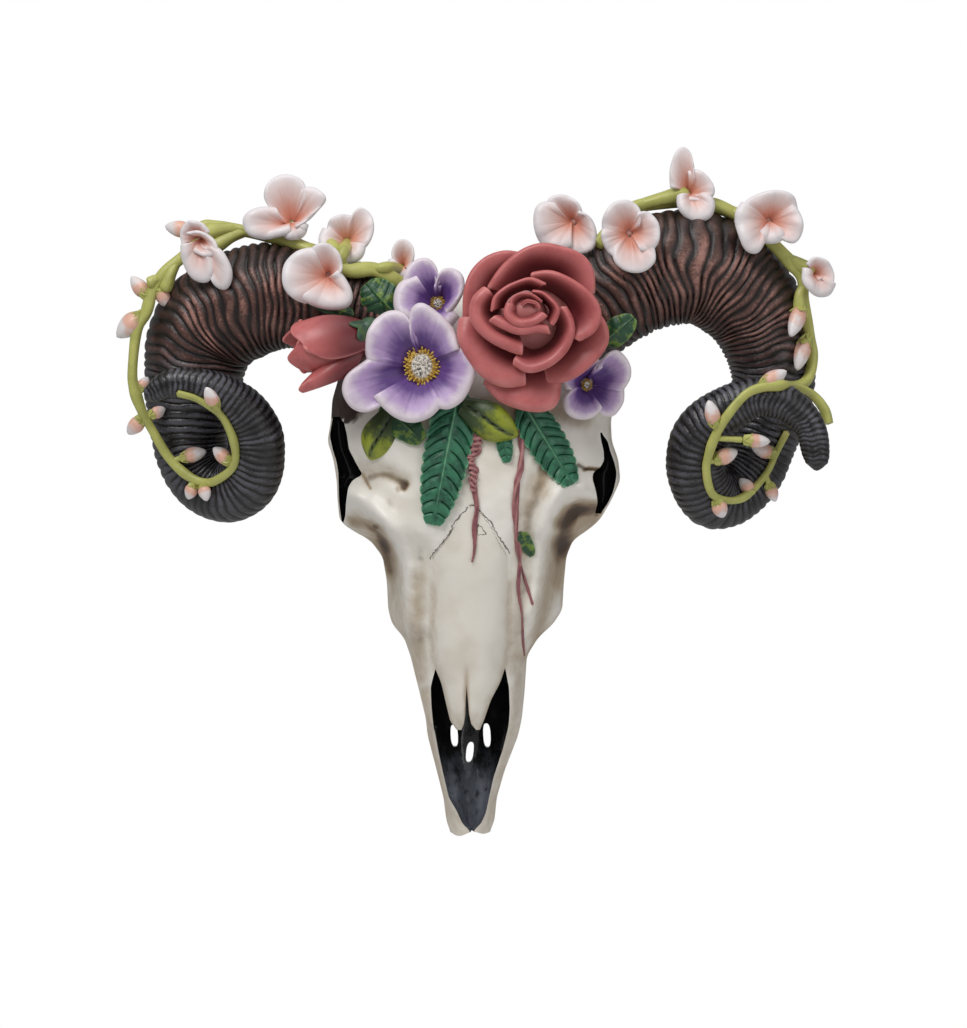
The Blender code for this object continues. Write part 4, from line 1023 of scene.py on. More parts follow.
def rim_petal(name, matrix, rim, top, bottom, root, roll, seed, columns, rows, thickness, ruffle, sag, steep,
              pleats):
    """A broad petal that rises from the flower's middle to a rim and rolls over it.

    The rim is a list of (across, up) from the middle, as the flower is seen from its front, root is the
    petal's foot as a share of it, and top and bottom are their heights in the flower's own frame.
    """
    chance = np.random.RandomState(seed)
    phases = chance.rand(3) * 7
    course = smooth_route([(x, y, 0) for x, y in rim], 40)
    middle = course[len(course) // 2, :2]

    def place(s, t):
        spot = (s + 1) / 2 * (len(course) - 1)
        x = np.interp(spot, np.arange(len(course)), course[:, 0])
        y = np.interp(spot, np.arange(len(course)), course[:, 1])
        reach = np.maximum(np.hypot(x, y), 0.01)
        inner = np.stack([x * 0.75 + middle[0] * 0.25, y * 0.75 + middle[1] * 0.25], 1) * root
        x, y = x * (1 - roll / reach), y * (1 - roll / reach)
        climb, over = np.minimum(t / 0.8, 1), np.clip((t - 0.8) / 0.2, 0, 1)
        points = inner + (np.stack([x, y], 1) - inner) * climb[:, None]
        points = points + np.stack([x, y], 1) / reach[:, None] * (roll * np.sin(over * math.pi / 2))[:, None]
        height = bottom + (top - bottom) * (1 - (1 - climb) ** steep)
        height = height - sag * np.abs(s) ** 3 * climb - roll * 1.1 * (1 - np.cos(over * math.pi / 2))
        wave = np.sin(5 * s + phases[0]) + 0.5 * np.sin(10 * s + phases[1])
        pleat = np.abs(np.sin(7 * s + phases[2] + 0.6 * np.sin(9 * s))) ** 0.5
        height = height + ruffle * wave * climb ** 3 + pleats * pleat * climb * (1.15 - climb) * 3
        return moved(np.column_stack([points, height]), matrix).T

    return thicken(sheet(name, columns, rows, place), thickness)


def wrap(name, matrix, angle, span, length, radius, offset, start, end, lean=0.0, thickness=1.3):
    """A petal wrapped round an egg-shaped bud that points along its own +Z, its tip pointed."""
    def place(s, t):
        along = start + (end - start) * t * (1 - 0.2 * s * s * t * t)
        turn = math.radians(angle) + math.radians(lean) * t + math.radians(span / 2) * s * (1 - 0.4 * t ** 4)
        wide = radius * np.sin(math.pi * (0.16 + 0.7 * along)) ** 0.8 + offset * (0.4 + 0.6 * t)
        wide = wide + 0.8 * step(0.8, 1.0, t) + 0.5 * step(0.7, 1.0, np.abs(s)) * np.sin(math.pi * t)
        return moved(np.stack([wide * np.cos(turn), wide * np.sin(turn), length * along], 1), matrix).T

    return thicken(sheet(name, 24, 20, place), thickness, 1)


def bead(name, matrix, spot, radius, stretch, sides, rows, lean=Matrix.Identity(4)):
    """A round bead at a spot of a flower's own frame, closed at both poles."""
    seat = matrix @ Matrix.Translation(spot) @ lean

    def place(s, t):
        tilt = math.pi * t
        points = np.stack([
            radius * stretch[0] * np.sin(tilt) * np.cos(math.pi * s),
            radius * stretch[1] * np.sin(tilt) * np.sin(math.pi * s),
            radius * stretch[2] * np.cos(tilt),
        ], 1)
        return moved(points, seat).T

    return weld(sheet(name, sides, rows, place))


def petal_finish(name, rim, middle, throat, vein, throat_at, rim_at, veins, strength):
    """A petal's paint: throat, middle and rim along it, with veins that run along it too."""
    coat = Finish(name)
    across, along = coat.across_along()
    relief = coat.attribute("relief")
    streak = coat.streaks(along * 1.4, across * veins)
    cloud, fine = coat.noise(5), coat.noise(0.9)
    share = along + cloud * 0.05
    colour = coat.blend(throat, middle, (share + streak * 0.05).between(*throat_at))
    colour = coat.blend(colour, rim, (share + streak * 0.04).between(*rim_at))
    colour = coat.blend(colour, vein, streak.between(0.3, 1.0) * along.between(0.85, 0.35) * strength)
    # Paler on the raised rims and darker in the folds: painted highlight and painted shade
    colour = coat.blend(colour, rim, relief.between(0.35, 1.0) * 0.5)
    colour = coat.blend(colour, vein, relief.between(-0.3, -1.0) * 0.5)
    return coat.done(colour, cloud * 0.04 + 0.42, streak * 0.35 + fine * 0.15, 0.35, 0.35)


# Rose

ROSE_PLACE = (22, 80, 58.5)
# Petals of the rose, from its heart outwards: top, bottom, root as a share of the rim, roll, then the rim
ROSE_PETALS = [
    (21.0, 12, 0.2, 0.3, [(-1.8, 1.6), (1.4, 3.4), (5.8, 2.4), (7.4, -0.4)]),
    (20.4, 11, 0.4, 0.5, [(-5.2, -1.0), (-6.0, 3.6), (-2.2, 6.6), (3.6, 6.2), (8.2, 3.0)]),
    (20.2, 10, 0.5, 0.5, [(-6.6, 2.2), (-7.4, -3.0), (-2.6, -6.8), (4.2, -6.2), (9.4, -2.6)]),
    (20.4, 8, 0.66, 1.4, [(3.5, 8.4), (8.6, 7.2), (13.0, 3.4), (15.6, -0.8), (14.2, -5.4), (12.4, -7.8)]),
    (19.6, 7, 0.66, 1.3, [(-14.8, -1.4), (-13.6, 4.8), (-8.8, 9.4), (-3.3, 12.0), (3.0, 13.6), (9.7, 11.0)]),
    (18.8, 6, 0.62, 1.3, [(-14.8, -4.2), (-9.0, -7.6), (-2.0, -10.2), (5.4, -9.2), (11.4, -9.6)]),
    (15.6, 2, 0.66, 1.6, [(-16.6, 9.0), (-21.2, 4.4), (-22.4, -2.0), (-19.6, -8.0), (-13.6, -13.2),
                          (-6.0, -16.8), (-0.6, -18.4)]),
    (15.2, 2, 0.6, 2.6, [(18.2, 2.0), (21.2, -4.0), (21.8, -10.4), (18.4, -18.4), (11.0, -25.0),
                         (1.6, -27.6), (-5.8, -23.6)]),
    (14.6, 1, 0.56, 1.7, [(2.2, 16.4), (11.4, 17.2), (22.0, 12.4), (30.0, 5.4), (33.0, -2.2), (30.2, -9.6),
                          (23.0, -14.0)]),
    (10.4, -2, 0.5, 2.0, [(-17.2, 10.0), (-11.4, 18.8), (-3.0, 26.0), (6.3, 29.4), (15.4, 28.0),
                          (24.8, 24.2), (29.6, 16.8), (30.0, 7.0)]),
    (8.4, -3, 0.45, 2.2, [(-27.0, -3.0), (-27.6, -11.0), (-23.4, -20.0), (-16.8, -27.6), (-8.6, -31.2),
                          (0.0, -30.0)]),
    (6.4, -5, 0.4, 1.8, [(-27.4, -4.0), (-27.0, 8.0), (-24.0, 17.4), (-17.6, 23.8), (-9.4, 26.6),
                         (-1.0, 25.6)]),
    (6.0, -5, 0.4, 2.4, [(30.0, 2.0), (35.0, -5.4), (35.6, -13.6), (29.6, -22.4), (20.2, -29.4),
                         (9.0, -32.0)]),
    (2.6, -8, 0.4, 1.8, [(-17.0, -29.0), (-11.0, -36.0), (-3.0, -39.6), (5.6, -41.0), (11.6, -38.6),
                         (13.0, -30.0)]),
]


def rose_finish(settings):
    """Dusty red, darker in the folds and at the petals' feet, which is painted shade, and paler on their
    rims, a painted highlight.
    """
    coat = Finish("rose_red")
    _, along = coat.across_along()
    relief = coat.attribute("relief")
    cloud, fine = coat.noise(7), coat.noise(1.2)
    colour = coat.blend(settings.rose, paint(176, 88, 88), (cloud * 0.5 + 0.5).between(0.3, 1.0))
    # Painted shade towards the petals' feet, deep in the rose
    colour = coat.blend(paint(104, 34, 40), colour, (along + cloud * 0.05).between(0.22, 0.84))
    # A painted highlight on the raised rims and painted shade in the folds
    colour = coat.blend(colour, paint(222, 142, 138), relief.between(0.3, 1.0) * 0.7)
    colour = coat.blend(colour, paint(96, 32, 36), relief.between(-0.2, -0.95) * 0.75)
    return coat.done(colour, cloud * 0.04 + 0.42, cloud * 0.3 + fine * 0.2, 0.3, 0.3)


def build_rose():
    """The rose: its petals from the heart outwards, over a heart and a seat that fill it."""
    matrix = facing(ROSE_PLACE, -3, 4)
    pieces = []
    for index, (top, bottom, root, roll, rim) in enumerate(ROSE_PETALS):
        reach = max(math.hypot(*point) for point in rim)
        pieces.append(rim_petal(
            "rose_petal", matrix, rim, top, bottom, root, roll, index + 3, 28, 18,
            thickness=1.1 + 0.03 * reach, ruffle=0.012 * reach, sag=0.4 + 0.05 * reach, steep=1.7,
            pleats=0.1))
    pieces.append(bead("rose_heart", matrix, (0.6, -0.4, 9), 7.4, (1.15, 0.95, 1.3), 30, 20))
    pieces.append(bead("rose_seat", matrix, (1.5, -2, -3), 17, (1, 1, 0.62), 32, 14))
    rose = joined("rose_bloom", pieces)
    paint_relief(rose, 18, 0.9)
    return rose


class ORNAMENT_OT_rose(bpy.types.Operator):
    """Build the open rose"""
    bl_idname = "ornament.rose"
    bl_label = "Rose"

    def execute(self, context):
        settings = context.scene.ornament_flowers
        finish(build_rose(), rose_finish(settings), ("rose",))
        return {"FINISHED"}


# Anemones: node, place, heart radius and stretch, yaw, pitch, depth of the cup, rims of the petals
ANEMONES = [
    ("anemone_large", (-22.6, 76, 35.5), (7.2, 1.2), -3, 3, 9.5, [
        (0.0, [(-23.8, 2.0), (-24.8, 10.0), (-21.6, 18.6), (-14.4, 23.8), (-7.4, 23.0), (-3.6, 17.0)]),
        (1.6, [(-5.6, 17.0), (-4.4, 24.6), (0.4, 27.2), (7.8, 22.8), (14.4, 15.8), (17.6, 7.0)]),
        (0.4, [(15.0, 11.0), (22.0, 6.4), (24.6, 0.0), (22.2, -8.6), (18.2, -15.6), (12.0, -19.4),
               (5.6, -18.4)]),
        (1.4, [(10.0, -17.0), (4.4, -22.8), (-3.6, -25.2), (-11.0, -23.0), (-16.8, -18.4), (-21.0, -13.6)]),
        (-0.4, [(-17.4, -18.0), (-24.0, -20.4), (-30.4, -18.2), (-34.2, -11.4), (-32.6, -4.4),
                (-26.0, 1.4), (-21.0, 5.0)]),
    ]),
    ("anemone_top", (-15.9, 64, 62.5), (3.0, 1.1), -4, 14, 6.5, [
        (0.0, [(-14.6, 5.0), (-15.0, 12.0), (-11.0, 18.0), (-4.6, 19.6), (-0.4, 15.6), (0.6, 9.0)]),
        (1.0, [(-0.8, 8.6), (1.6, 14.0), (6.7, 15.0), (11.2, 11.6), (12.2, 5.0), (9.4, -2.0), (5.0, -7.0)]),
        (-0.8, [(-9.0, 11.0), (-15.6, 8.0), (-17.8, 2.0), (-16.6, -5.0), (-10.0, -10.0), (-2.0, -11.0)]),
        (-1.4, [(-8.0, -8.0), (-2.0, -12.0), (5.0, -11.0), (9.0, -6.0)]),
    ]),
    ("anemone_right", (47.8, 66, 28), (2.3, 1.1), 14, -6, 6.5, [
        (0.6, [(3.6, 9.0), (8.0, 14.6), (13.0, 15.4), (17.6, 10.4), (18.6, 4.0), (15.2, -3.0)]),
        (-0.4, [(16.4, -0.4), (16.0, -7.4), (11.6, -13.2), (6.8, -13.4), (3.6, -9.6)]),
        (0.8, [(6.4, -10.0), (1.8, -14.4), (-5.4, -14.8), (-10.8, -11.6), (-11.8, -6.0), (-9.0, -1.6)]),
        (-0.8, [(-8.6, -4.0), (-12.0, 1.6), (-10.0, 8.0), (-5.0, 11.0)]),
        (-1.2, [(-8.0, 8.0), (-3.0, 12.6), (3.0, 12.6), (7.0, 9.0)]),
    ]),
]


def heart_finish():
    """A pale, speckled heart inside a ring of gold."""
    coat = Finish("flower_heart")
    fine, relief, ring = coat.noise(0.9), coat.attribute("relief"), coat.attribute("ring")
    gold = coat.blend(paint(186, 138, 38), paint(110, 74, 22), (fine * 0.5 + 0.5).between(0.3, 0.9))
    pale = coat.blend(paint(30, 22, 26), paint(232, 226, 216), (fine + relief * 0.8).between(0.05, 0.4))
    colour = coat.blend(pale, gold, (ring + fine * 0.1).between(0.55, 0.72))
    anthers = relief.between(0.35, 0.9) * ring.between(0.55, 0.75) * 0.8
    colour = coat.blend(colour, paint(226, 190, 88), anthers)
    colour = coat.blend(colour, paint(34, 22, 28), relief.between(0.1, -0.5))
    return coat.done(colour, fine * 0.05 + 0.4, fine, 0.5, 0.3)


# Rings of stamens: reach as a share of the heart's radius, count, lift in millimetres, size as such a share
STAMEN_RINGS = [
    (1.0, 30, 1.1, 0.085), (0.86, 26, 1.7, 0.085), (0.68, 18, 2.0, 0.09), (0.48, 12, 2.3, 0.095),
    (0.26, 7, 2.5, 0.1),
]
# The heart's radius for which the lifts are given
HEART_RADIUS = 7.2


def build_heart(name, matrix, radius, stretch):
    """The raised heart of an anemone: a dome with rings of short stamens."""
    chance = np.random.RandomState(int(radius * 10))
    pieces = [bead("heart_dome", matrix, (0, 0, 0), radius * 0.92, (1, stretch, 0.3), 28, 12)]
    for ring, (share, count, lift, size) in enumerate(STAMEN_RINGS):
        for index in range(count):
            turn = 2 * math.pi * (index + 0.5 * (ring % 2) + chance.uniform(-0.25, 0.25)) / count
            out = radius * share * chance.uniform(0.92, 1.08)
            spot = (out * math.cos(turn), out * stretch * math.sin(turn), lift * radius / HEART_RADIUS)
            tip = 0.9 * share + chance.uniform(-0.4, 0.4)
            lean = Matrix.Rotation(turn, 4, "Z") @ Matrix.Rotation(tip, 4, "Y")
            shape = (1, 0.75, chance.uniform(1.4, 2.2))
            thick = radius * size * chance.uniform(0.8, 1.2)
            pieces.append(bead("stamen", matrix, spot, thick, shape, 6, 5, lean))
    heart = joined(name, pieces)
    local = moved(places_of(heart), matrix.inverted())
    store(heart, "ring", np.hypot(local[:, 0], local[:, 1] / stretch) / radius)
    paint_relief(heart, 6, 0.22)
    return heart


class ORNAMENT_OT_anemones(bpy.types.Operator):
    """Build the three violet anemones with their golden hearts"""
    bl_idname = "ornament.anemones"
    bl_label = "Anemones"

    def execute(self, context):
        settings = context.scene.ornament_flowers
        violet = petal_finish("anemone_violet", paint(226, 214, 222), settings.violet, paint(92, 60, 128),
                              paint(88, 58, 118), (0.3, 0.62), (0.6, 0.86), 14.0, 0.5)
        gold = heart_finish()
        for number, (node, place, (heart, stretch), yaw, pitch, cup, petals) in enumerate(ANEMONES):
            side, depth, height = place
            matrix = facing(place, yaw, pitch)
            pieces = []
            for index, (lift, rim) in enumerate(petals):
                pieces.append(rim_petal(
                    node + "_petal", matrix, rim, cup + lift, lift * 0.5 - 1, 0.16, cup * 0.3,
                    index + 5 * number, 34, 18, settings.petal / MM, ruffle=cup * 0.06, sag=cup * 0.16,
                    steep=1.5, pleats=0.3))
            pieces.append(bead("seat", matrix, (0, 0, -cup * 0.6), 2 + cup * 0.5, (1, 1, 0.7), 18, 8))
            behind = (side, ground(side, height) - 1.5, height, 4.4)
            pieces.append(tube("stalk", np.linspace((side, depth - cup, height, 3.4), behind, 10), 16))
            flower = joined(node + "_petals", pieces)
            paint_relief(flower, 14, 0.8)
            finish(flower, violet, (node,))
            heart_place = matrix @ Matrix.Translation((0, 0, cup * 0.18))
            finish(build_heart(node + "_heart", heart_place, heart, stretch), gold)
        return {"FINISHED"}


# The rose bud, from its calyx to its tip
ROSE_BUD_ROOT = (-45, 74, 47.5)
ROSE_BUD_TIP = (-82, 76, 42)
CALYX_ROOT = (-44.5, 78, 52.5)
CALYX_TIP = (-56, 80, 46.5)


def aim(start, end):
    """A frame at start whose +Z points at end and whose +X lies as level as it can."""
    forward = (end - start).normalized()
    side = Vector((0, -1, 0)).cross(forward).normalized()
    up = forward.cross(side)
    return Matrix.Translation(start) @ Matrix((side, up, forward)).transposed().to_4x4()


def lower_petal():
    """The petal that has opened downwards, a long spoon with a curled tip."""
    def place(s, t):
        reach = t * (1 - 0.12 * s * s * t * t)
        centre_x = -48.0 - 26.0 * reach - 1.5 * t ** 4
        centre_z = 38.5 - 9.0 * reach - 4.6 * t ** 3
        half = 9.0 * np.sin(math.pi * np.clip(0.3 + 0.62 * t, 0, 1)) ** 0.6
        depth = 80.5 + 4.5 * np.sin(math.pi * t) - 4.5 * s * s - 2.0 * s + 2.4 * step(0.78, 1.0, t)
        side = centre_x + 0.34 * half * s
        height = centre_z + 1.5 + 0.94 * half * s
        return side, -depth, height

    return thicken(sheet("lower_petal", 20, 24, place), 1.8)


class ORNAMENT_OT_rose_bud(bpy.types.Operator):
    """Build the half open rose bud and its calyx"""
    bl_idname = "ornament.rose_bud"
    bl_label = "Rose bud"

    def execute(self, context):
        start, end = world(*ROSE_BUD_ROOT), world(*ROSE_BUD_TIP)
        matrix = aim(start, end)
        length = (end - start).length
        pieces = [
            bead("bud_core", matrix, (0, 0, length * 0.42), 10.4, (0.98, 0.9, 1.5), 30, 22),
            wrap("bud_petal", matrix, 60, 150, length, 11.4, 0.3, 0.02, 0.98),
            wrap("bud_petal", matrix, 230, 150, length, 11.2, 0.2, 0.02, 1.0, -10),
            wrap("bud_petal", matrix, 150, 184, length, 12.0, 1.3, 0.0, 0.9, -6, 1.7),
            lower_petal(),
        ]
        bud = joined("rose_bud_petals", pieces)
        paint_relief(bud, 18, 0.9)
        finish(bud, bpy.data.materials["rose_red"], ("rose_bud",))
        seat = aim(world(*CALYX_ROOT), world(*CALYX_TIP))
        sepals = [bead("calyx_seat", seat, (0, 0, 1), 4.6, (1, 1, 1.1), 18, 10)]
        for turn in (0, 72, 144, 216, 288):
            sepals.append(petal("sepal", seat, turn, 2.2, 10, 7.5, 66, 0.7, 1.1, 1))
        calyx = joined("bud_calyx_sepals", sepals)
        paint_relief(calyx, 8, 0.5)
        green = leaf_finish("calyx_green", paint(26, 52, 44), paint(52, 88, 64), paint(72, 92, 34))
        finish(calyx, green, ("bud_calyx",))
        return {"FINISHED"}


# Closed buds: node, stand off, root and tip as (side, height), radius
CLOSED_BUDS = [
    ("bud_brow", 2.0, (-36, 17), (-45, -4.5), 7.2),
    ("bud_centre", 3.0, (-6, 19), (18.5, 6.0), 7.6),
]
# Leaves: node, stand off, root and tip as (side, height), width, lobes, bow, depth of a lobe, lean of a lobe
LEAVES = [
    ("fern_left", 2.2, (-6.5, 27), (-18.4, -34.5), 20.5, 11, 1.6, 0.14, 0.14),
    ("fern_right", 2.2, (20, 21), (42.8, -16), 17.5, 9, 1.4, 0.14, 0.14),
    ("fern_small", 1.4, (11.4, 11), (14, -6.2), 7.4, 5, 0.5, 0.13, 0.14),
    ("leaf_bud", 3.0, (-33, 57), (-47.5, 72.5), 17, 4, 2.4, 0.06, 0.2),
    ("leaf_rose", 14, (55, 46), (68.5, 57), 12, 3, 2.0, 0.05, 0.12),
    ("leaf_thin", 2.0, (-52, 58), (-75, 66), 6.5, 3, 1.0, 0.08, 0.1),
    ("leaf_brow", 1.8, (-40, 20), (-22, 3), 14, 3, 1.2, 0.06, 0.12),
    ("leaf_root", 1.0, (19.6, -35.5), (25.0, -46.0), 6.0, 2, 0.8, 0.08, 0.1),
]
# Leaves that stand for no node of the frame
LOOSE_LEAVES = ("leaf_root", "leaf_brow")
# The foot of the stalk of leaf_rose: side, depth, height, radius
ROSE_LEAF_STALK = (34, 74, 50, 1.6)


def leaf_finish(name, colour, edge, patch=None):
    """A leaf's green, paler on its ribs and rim, a painted highlight, and dark in its folds, painted shade,
    with patches where it has them.
    """
    coat = Finish(name)
    relief = coat.attribute("relief")
    cloud, fine = coat.noise(4), coat.noise(0.9)
    body = coat.blend(colour, paint(30, 78, 58), (cloud * 0.5 + 0.5).between(0.3, 0.95))
    if patch:
        body = coat.blend(body, patch, (cloud + relief * 0.3).between(0.0, 0.5) * 0.85)
    # Painted highlight on the raised ribs and rim, painted shade in the folds
    body = coat.blend(body, edge, (relief + fine * 0.1).between(0.25, 0.9) * 0.75)
    body = coat.blend(body, paint(12, 36, 28), (relief + fine * 0.1).between(-0.05, -0.7))
    return coat.done(body, fine * 0.04 + 0.42, fine * 0.4, 0.35, 0.25)


def olive_finish(settings):
    """The closed buds' olive, bright yellow green on their raised tips, partly their own colour and partly a
    painted highlight, and dark in their creases, painted shade.
    """
    coat = Finish("olive_bud_paint")
    relief, tip = coat.attribute("relief"), coat.attribute("along")
    cloud, fine = coat.noise(4), coat.noise(0.9)
    body = coat.blend(paint(56, 74, 40), settings.olive, (tip + cloud * 0.1).between(0.2, 0.7))
    # Bright yellow green on the raised tips, the buds' colour and a painted highlight; painted shade in the
    # creases below
    bright = ((relief + fine * 0.1).between(0.15, 0.9) * 0.8).least((tip + cloud * 0.2).between(0.35, 0.8))
    body = coat.blend(body, paint(158, 168, 44), bright)
    body = coat.blend(body, paint(24, 30, 16), relief.between(-0.1, -0.7))
    return coat.done(body, fine * 0.04 + 0.4, fine * 0.4, 0.35, 0.25)


def build_leaf(spec, thickness):
    """A lobed blade, which lies on the face or, beside the flowers, stands free."""
    node, off, root, tip, width, lobes, bow, cut, sweep = spec
    lies = node.startswith("fern") or node in LOOSE_LEAVES
    first = world(root[0], ground(*root) + off - 2, root[1])
    last = world(tip[0], ground(*tip) + off, tip[1])
    length = (last - first).length
    forward = (last - first).normalized()
    side = forward.cross(Vector((0, -1, 0))).normalized()
    up = side.cross(forward)
    matrix = Matrix.Translation(first) @ Matrix((side, forward, up)).transposed().to_4x4()

    def place(s, t):
        beat = np.abs(np.sin(math.pi * lobes * t)) ** 0.5
        outline = np.sin(math.pi * np.clip(0.3 + 0.66 * t, 0, 1)) ** 0.55
        half = width / 2 * outline * (1 - cut * (1 - beat) * step(0.5, 1.0, np.abs(s)))
        swept = t + sweep * np.abs(s) ** 1.5 * (1 - t ** 2.5)
        rib = 9 * cut * (beat - 0.8) * step(0.04, 0.3, np.abs(s))
        rib = rib + 0.25 * np.sin(math.pi * lobes * 3 * t) * np.abs(s)
        midrib = 1.1 * np.exp(-(s / 0.08) ** 2) * (1 - 0.5 * t)
        droop = 0.05 if lies else 0.14
        lift = bow * np.sin(math.pi * t) - droop * width * s * s * outline
        lift = lift + (rib + midrib) * min(1.0, width / 14) + 0.5 * np.sin(4 * t + 2 * s)
        reach = length * swept / (1 + sweep * 0.25)
        points = moved(np.stack([half * s, reach, lift * (not lies)], 1), matrix)
        if lies:
            points[:, 1] = -(face_depth(points[:, 0], points[:, 2]) + off + lift)
        return points.T

    leaf = thicken(sheet(node + "_blade", 36, lobes * 16, place), thickness / MM, 0)
    if node == "leaf_rose":
        stalk = np.linspace(ROSE_LEAF_STALK, (first.x, -first.y, first.z, 1.1), 12)
        leaf = joined(node + "_blade", [leaf, tube("stalk", stalk, 12)])
    paint_relief(leaf, 10, 0.5)
    return leaf


def build_closed_bud(spec):
    """A closed bud of three folded sepals that lies on the face."""
    node, off, root, tip, radius = spec
    first = world(root[0], ground(*root) + off, root[1])
    last = world(tip[0], ground(*tip) + off, tip[1])
    route = []
    for share in np.linspace(0, 1, 60):
        place = first.lerp(last, share)
        wide = math.sin(math.pi * min(1, 0.14 + 0.85 * share ** 1.35)) ** 0.8
        route.append((place.x, -place.y, place.z, radius * wide))

    def swell(turn, row):
        fold = np.abs(np.sin(1.5 * turn + 0.3 + 0.02 * row)) ** 0.4
        return 1 + 0.44 * (fold - 0.78) * step(0, 8, row) + 0.05 * np.sin(5 * turn + 0.05 * row)

    bud = tube(node + "_sepals", np.array(route), 48, 0.85, swell)
    points = places_of(bud)
    axis = np.array(last - first) / (last - first).length
    store(bud, "along", (points - np.array(first)) @ axis / (last - first).length)
    paint_relief(bud, 20, 0.35)
    return bud


class ORNAMENT_OT_leaves(bpy.types.Operator):
    """Build the ferns, the leaves and the closed olive buds"""
    bl_idname = "ornament.leaves"
    bl_label = "Leaves"

    def execute(self, context):
        settings = context.scene.ornament_greens
        green = leaf_finish("fern_green", settings.leaf, paint(120, 176, 136))
        bright = leaf_finish("leaf_bright", paint(38, 78, 50), paint(112, 150, 84), paint(116, 142, 52))
        for spec in LEAVES:
            leaf = build_leaf(spec, settings.leaf_thickness)
            nodes = () if spec[0] in LOOSE_LEAVES else (spec[0],)
            finish(leaf, green if spec[0].startswith("fern") else bright, nodes)
        olive = olive_finish(settings)
        for spec in CLOSED_BUDS:
            finish(build_closed_bud(spec), olive, (spec[0],))
        return {"FINISHED"}


# Hanging roots: node, then strands as (radius, twist, points as (side, height))
ROOTS = [
    ("root_left", [
        (2.6, 2.4, [(2.8, 9), (1.6, 5), (0, 1), (-1.6, -3), (-2.2, -6.5)]),
        (2.3, -2.4, [(-2.6, -3), (-1.4, -7), (-0.4, -11), (-0.8, -15), (-0.4, -18)]),
        (1.3, 1.5, [(3.4, 8), (-0.6, 4), (2.2, -0.5), (-3.4, -4.5), (1.0, -8.5), (-2.2, -12.5), (0.4, -16)]),
        (1.0, 0.6, [(-1.8, -12), (-0.5, -18), (0.4, -25), (-0.6, -33), (-0.2, -41), (-1.2, -48.5)]),
        (0.8, -0.6, [(0.2, -15), (1.2, -24), (0.4, -32), (0.4, -40), (-0.8, -47)]),
    ]),
    ("root_right", [
        (1.5, 1.2, [(19.6, 9), (20, -6), (17.3, -17), (17.3, -31.5), (19, -43), (19.6, -50)]),
        (0.95, -0.8, [(20.8, 6), (18.6, -12), (18.4, -26), (17.8, -40), (20.4, -52), (22.8, -60), (25, -67)]),
        (0.85, 0.5, [(19.4, -48), (18.8, -60), (20.2, -71), (20.8, -82), (21.4, -89.5)]),
    ]),
]


def root_finish(settings):
    """Mauve, pale on the strands and dark between them, a painted highlight and painted shade."""
    coat = Finish("root_mauve")
    relief = coat.attribute("relief")
    cloud, fine = coat.noise(5), coat.noise(0.8)
    body = coat.blend(settings.root, paint(122, 66, 78), (cloud * 0.5 + 0.5).between(0.3, 0.9))
    # Painted highlight on the strands and painted shade between them
    body = coat.blend(body, paint(196, 142, 136), relief.between(0.2, 0.9) * 0.6)
    body = coat.blend(body, paint(58, 28, 40), relief.between(-0.1, -0.8))
    return coat.done(body, fine * 0.04 + 0.46, fine * 0.5, 0.35, 0.25)


class ORNAMENT_OT_roots(bpy.types.Operator):
    """Build the two twisted roots that hang down the face"""
    bl_idname = "ornament.roots"
    bl_label = "Roots"

    def execute(self, context):
        material = root_finish(context.scene.ornament_greens)
        for node, strands in ROOTS:
            pieces = []
            for number, (radius, twist, points) in enumerate(strands):
                route = []
                for index, (x, z) in enumerate(points):
                    thin = 1 - 0.45 * index / len(points)
                    route.append((x, 0, z, 0.78 * radius * thin))
                samples = smooth_route(route, 24 * len(points))
                sides, heights = samples[:, 0], samples[:, 2]
                raised = 2.6 * step(-26, -60, heights) * step(-0.6, 1.5, nasal_inside(sides, heights))
                samples[:, 1] = face_depth(sides, heights) + raised + samples[:, 3] * 0.5 + 0.3

                def swell(turn, row, twist=twist, number=number):
                    strands = 0.34 * np.sin(2 * turn + twist * row * 0.14)
                    return 1 + strands + 0.08 * np.sin(row * 0.5 + number)

                pieces.append(tube(node + "_strand", samples, 14, 0.8, swell))
            root = joined(node + "_twist", pieces)
            paint_relief(root, 8, 0.4)
            finish(root, material, (node,))
        return {"FINISHED"}


# Buds on the vines: place of the middle, place of the root as (side, height), length, radius
BUDS_LEFT = [
    (-145, 70.5, -141.5, 66, 13, 3.4), (-135.2, 66.5, -139, 72, 12, 3.3),
    (-149, 54.6, -144, 61, 16.5, 4.8), (-144, 28.5, -147, 24, 8, 2.6), (-138, 16.5, -143, 14, 8, 2.7),
    (-147, 11, -143.5, 15, 11, 3.4), (-113, 22, -109, 14.5, 12, 3.0), (-122.5, -2, -130, -3, 12, 3.3),
    (-109, -2.5, -105, -6, 11, 3.2), (-123, -17.5, -121, -12.5, 8, 2.9), (-117, -18, -117.5, -13, 8, 2.8),
    (-128, 96, -120, 95, 13, 3.6),
]
BUDS_RIGHT = [
    (139.5, 57, 141.5, 65, 19, 3.6), (142, 43, 143.5, 52, 18, 3.5), (128, 30.5, 120, 28, 14, 3.6),
    (102, 15, 104, 7, 13, 3.3), (107.6, -2.6, 102, -6, 12, 3.6), (105.8, -25, 104, -19, 9, 3.4),
    (118, -15.6, 120.5, -18, 9, 3.0), (125.5, 0, 130, -2, 12, 3.3), (129, -18, 126, -11, 9, 2.8),
    (121, 4, 113, 1, 12, 3.0),
]
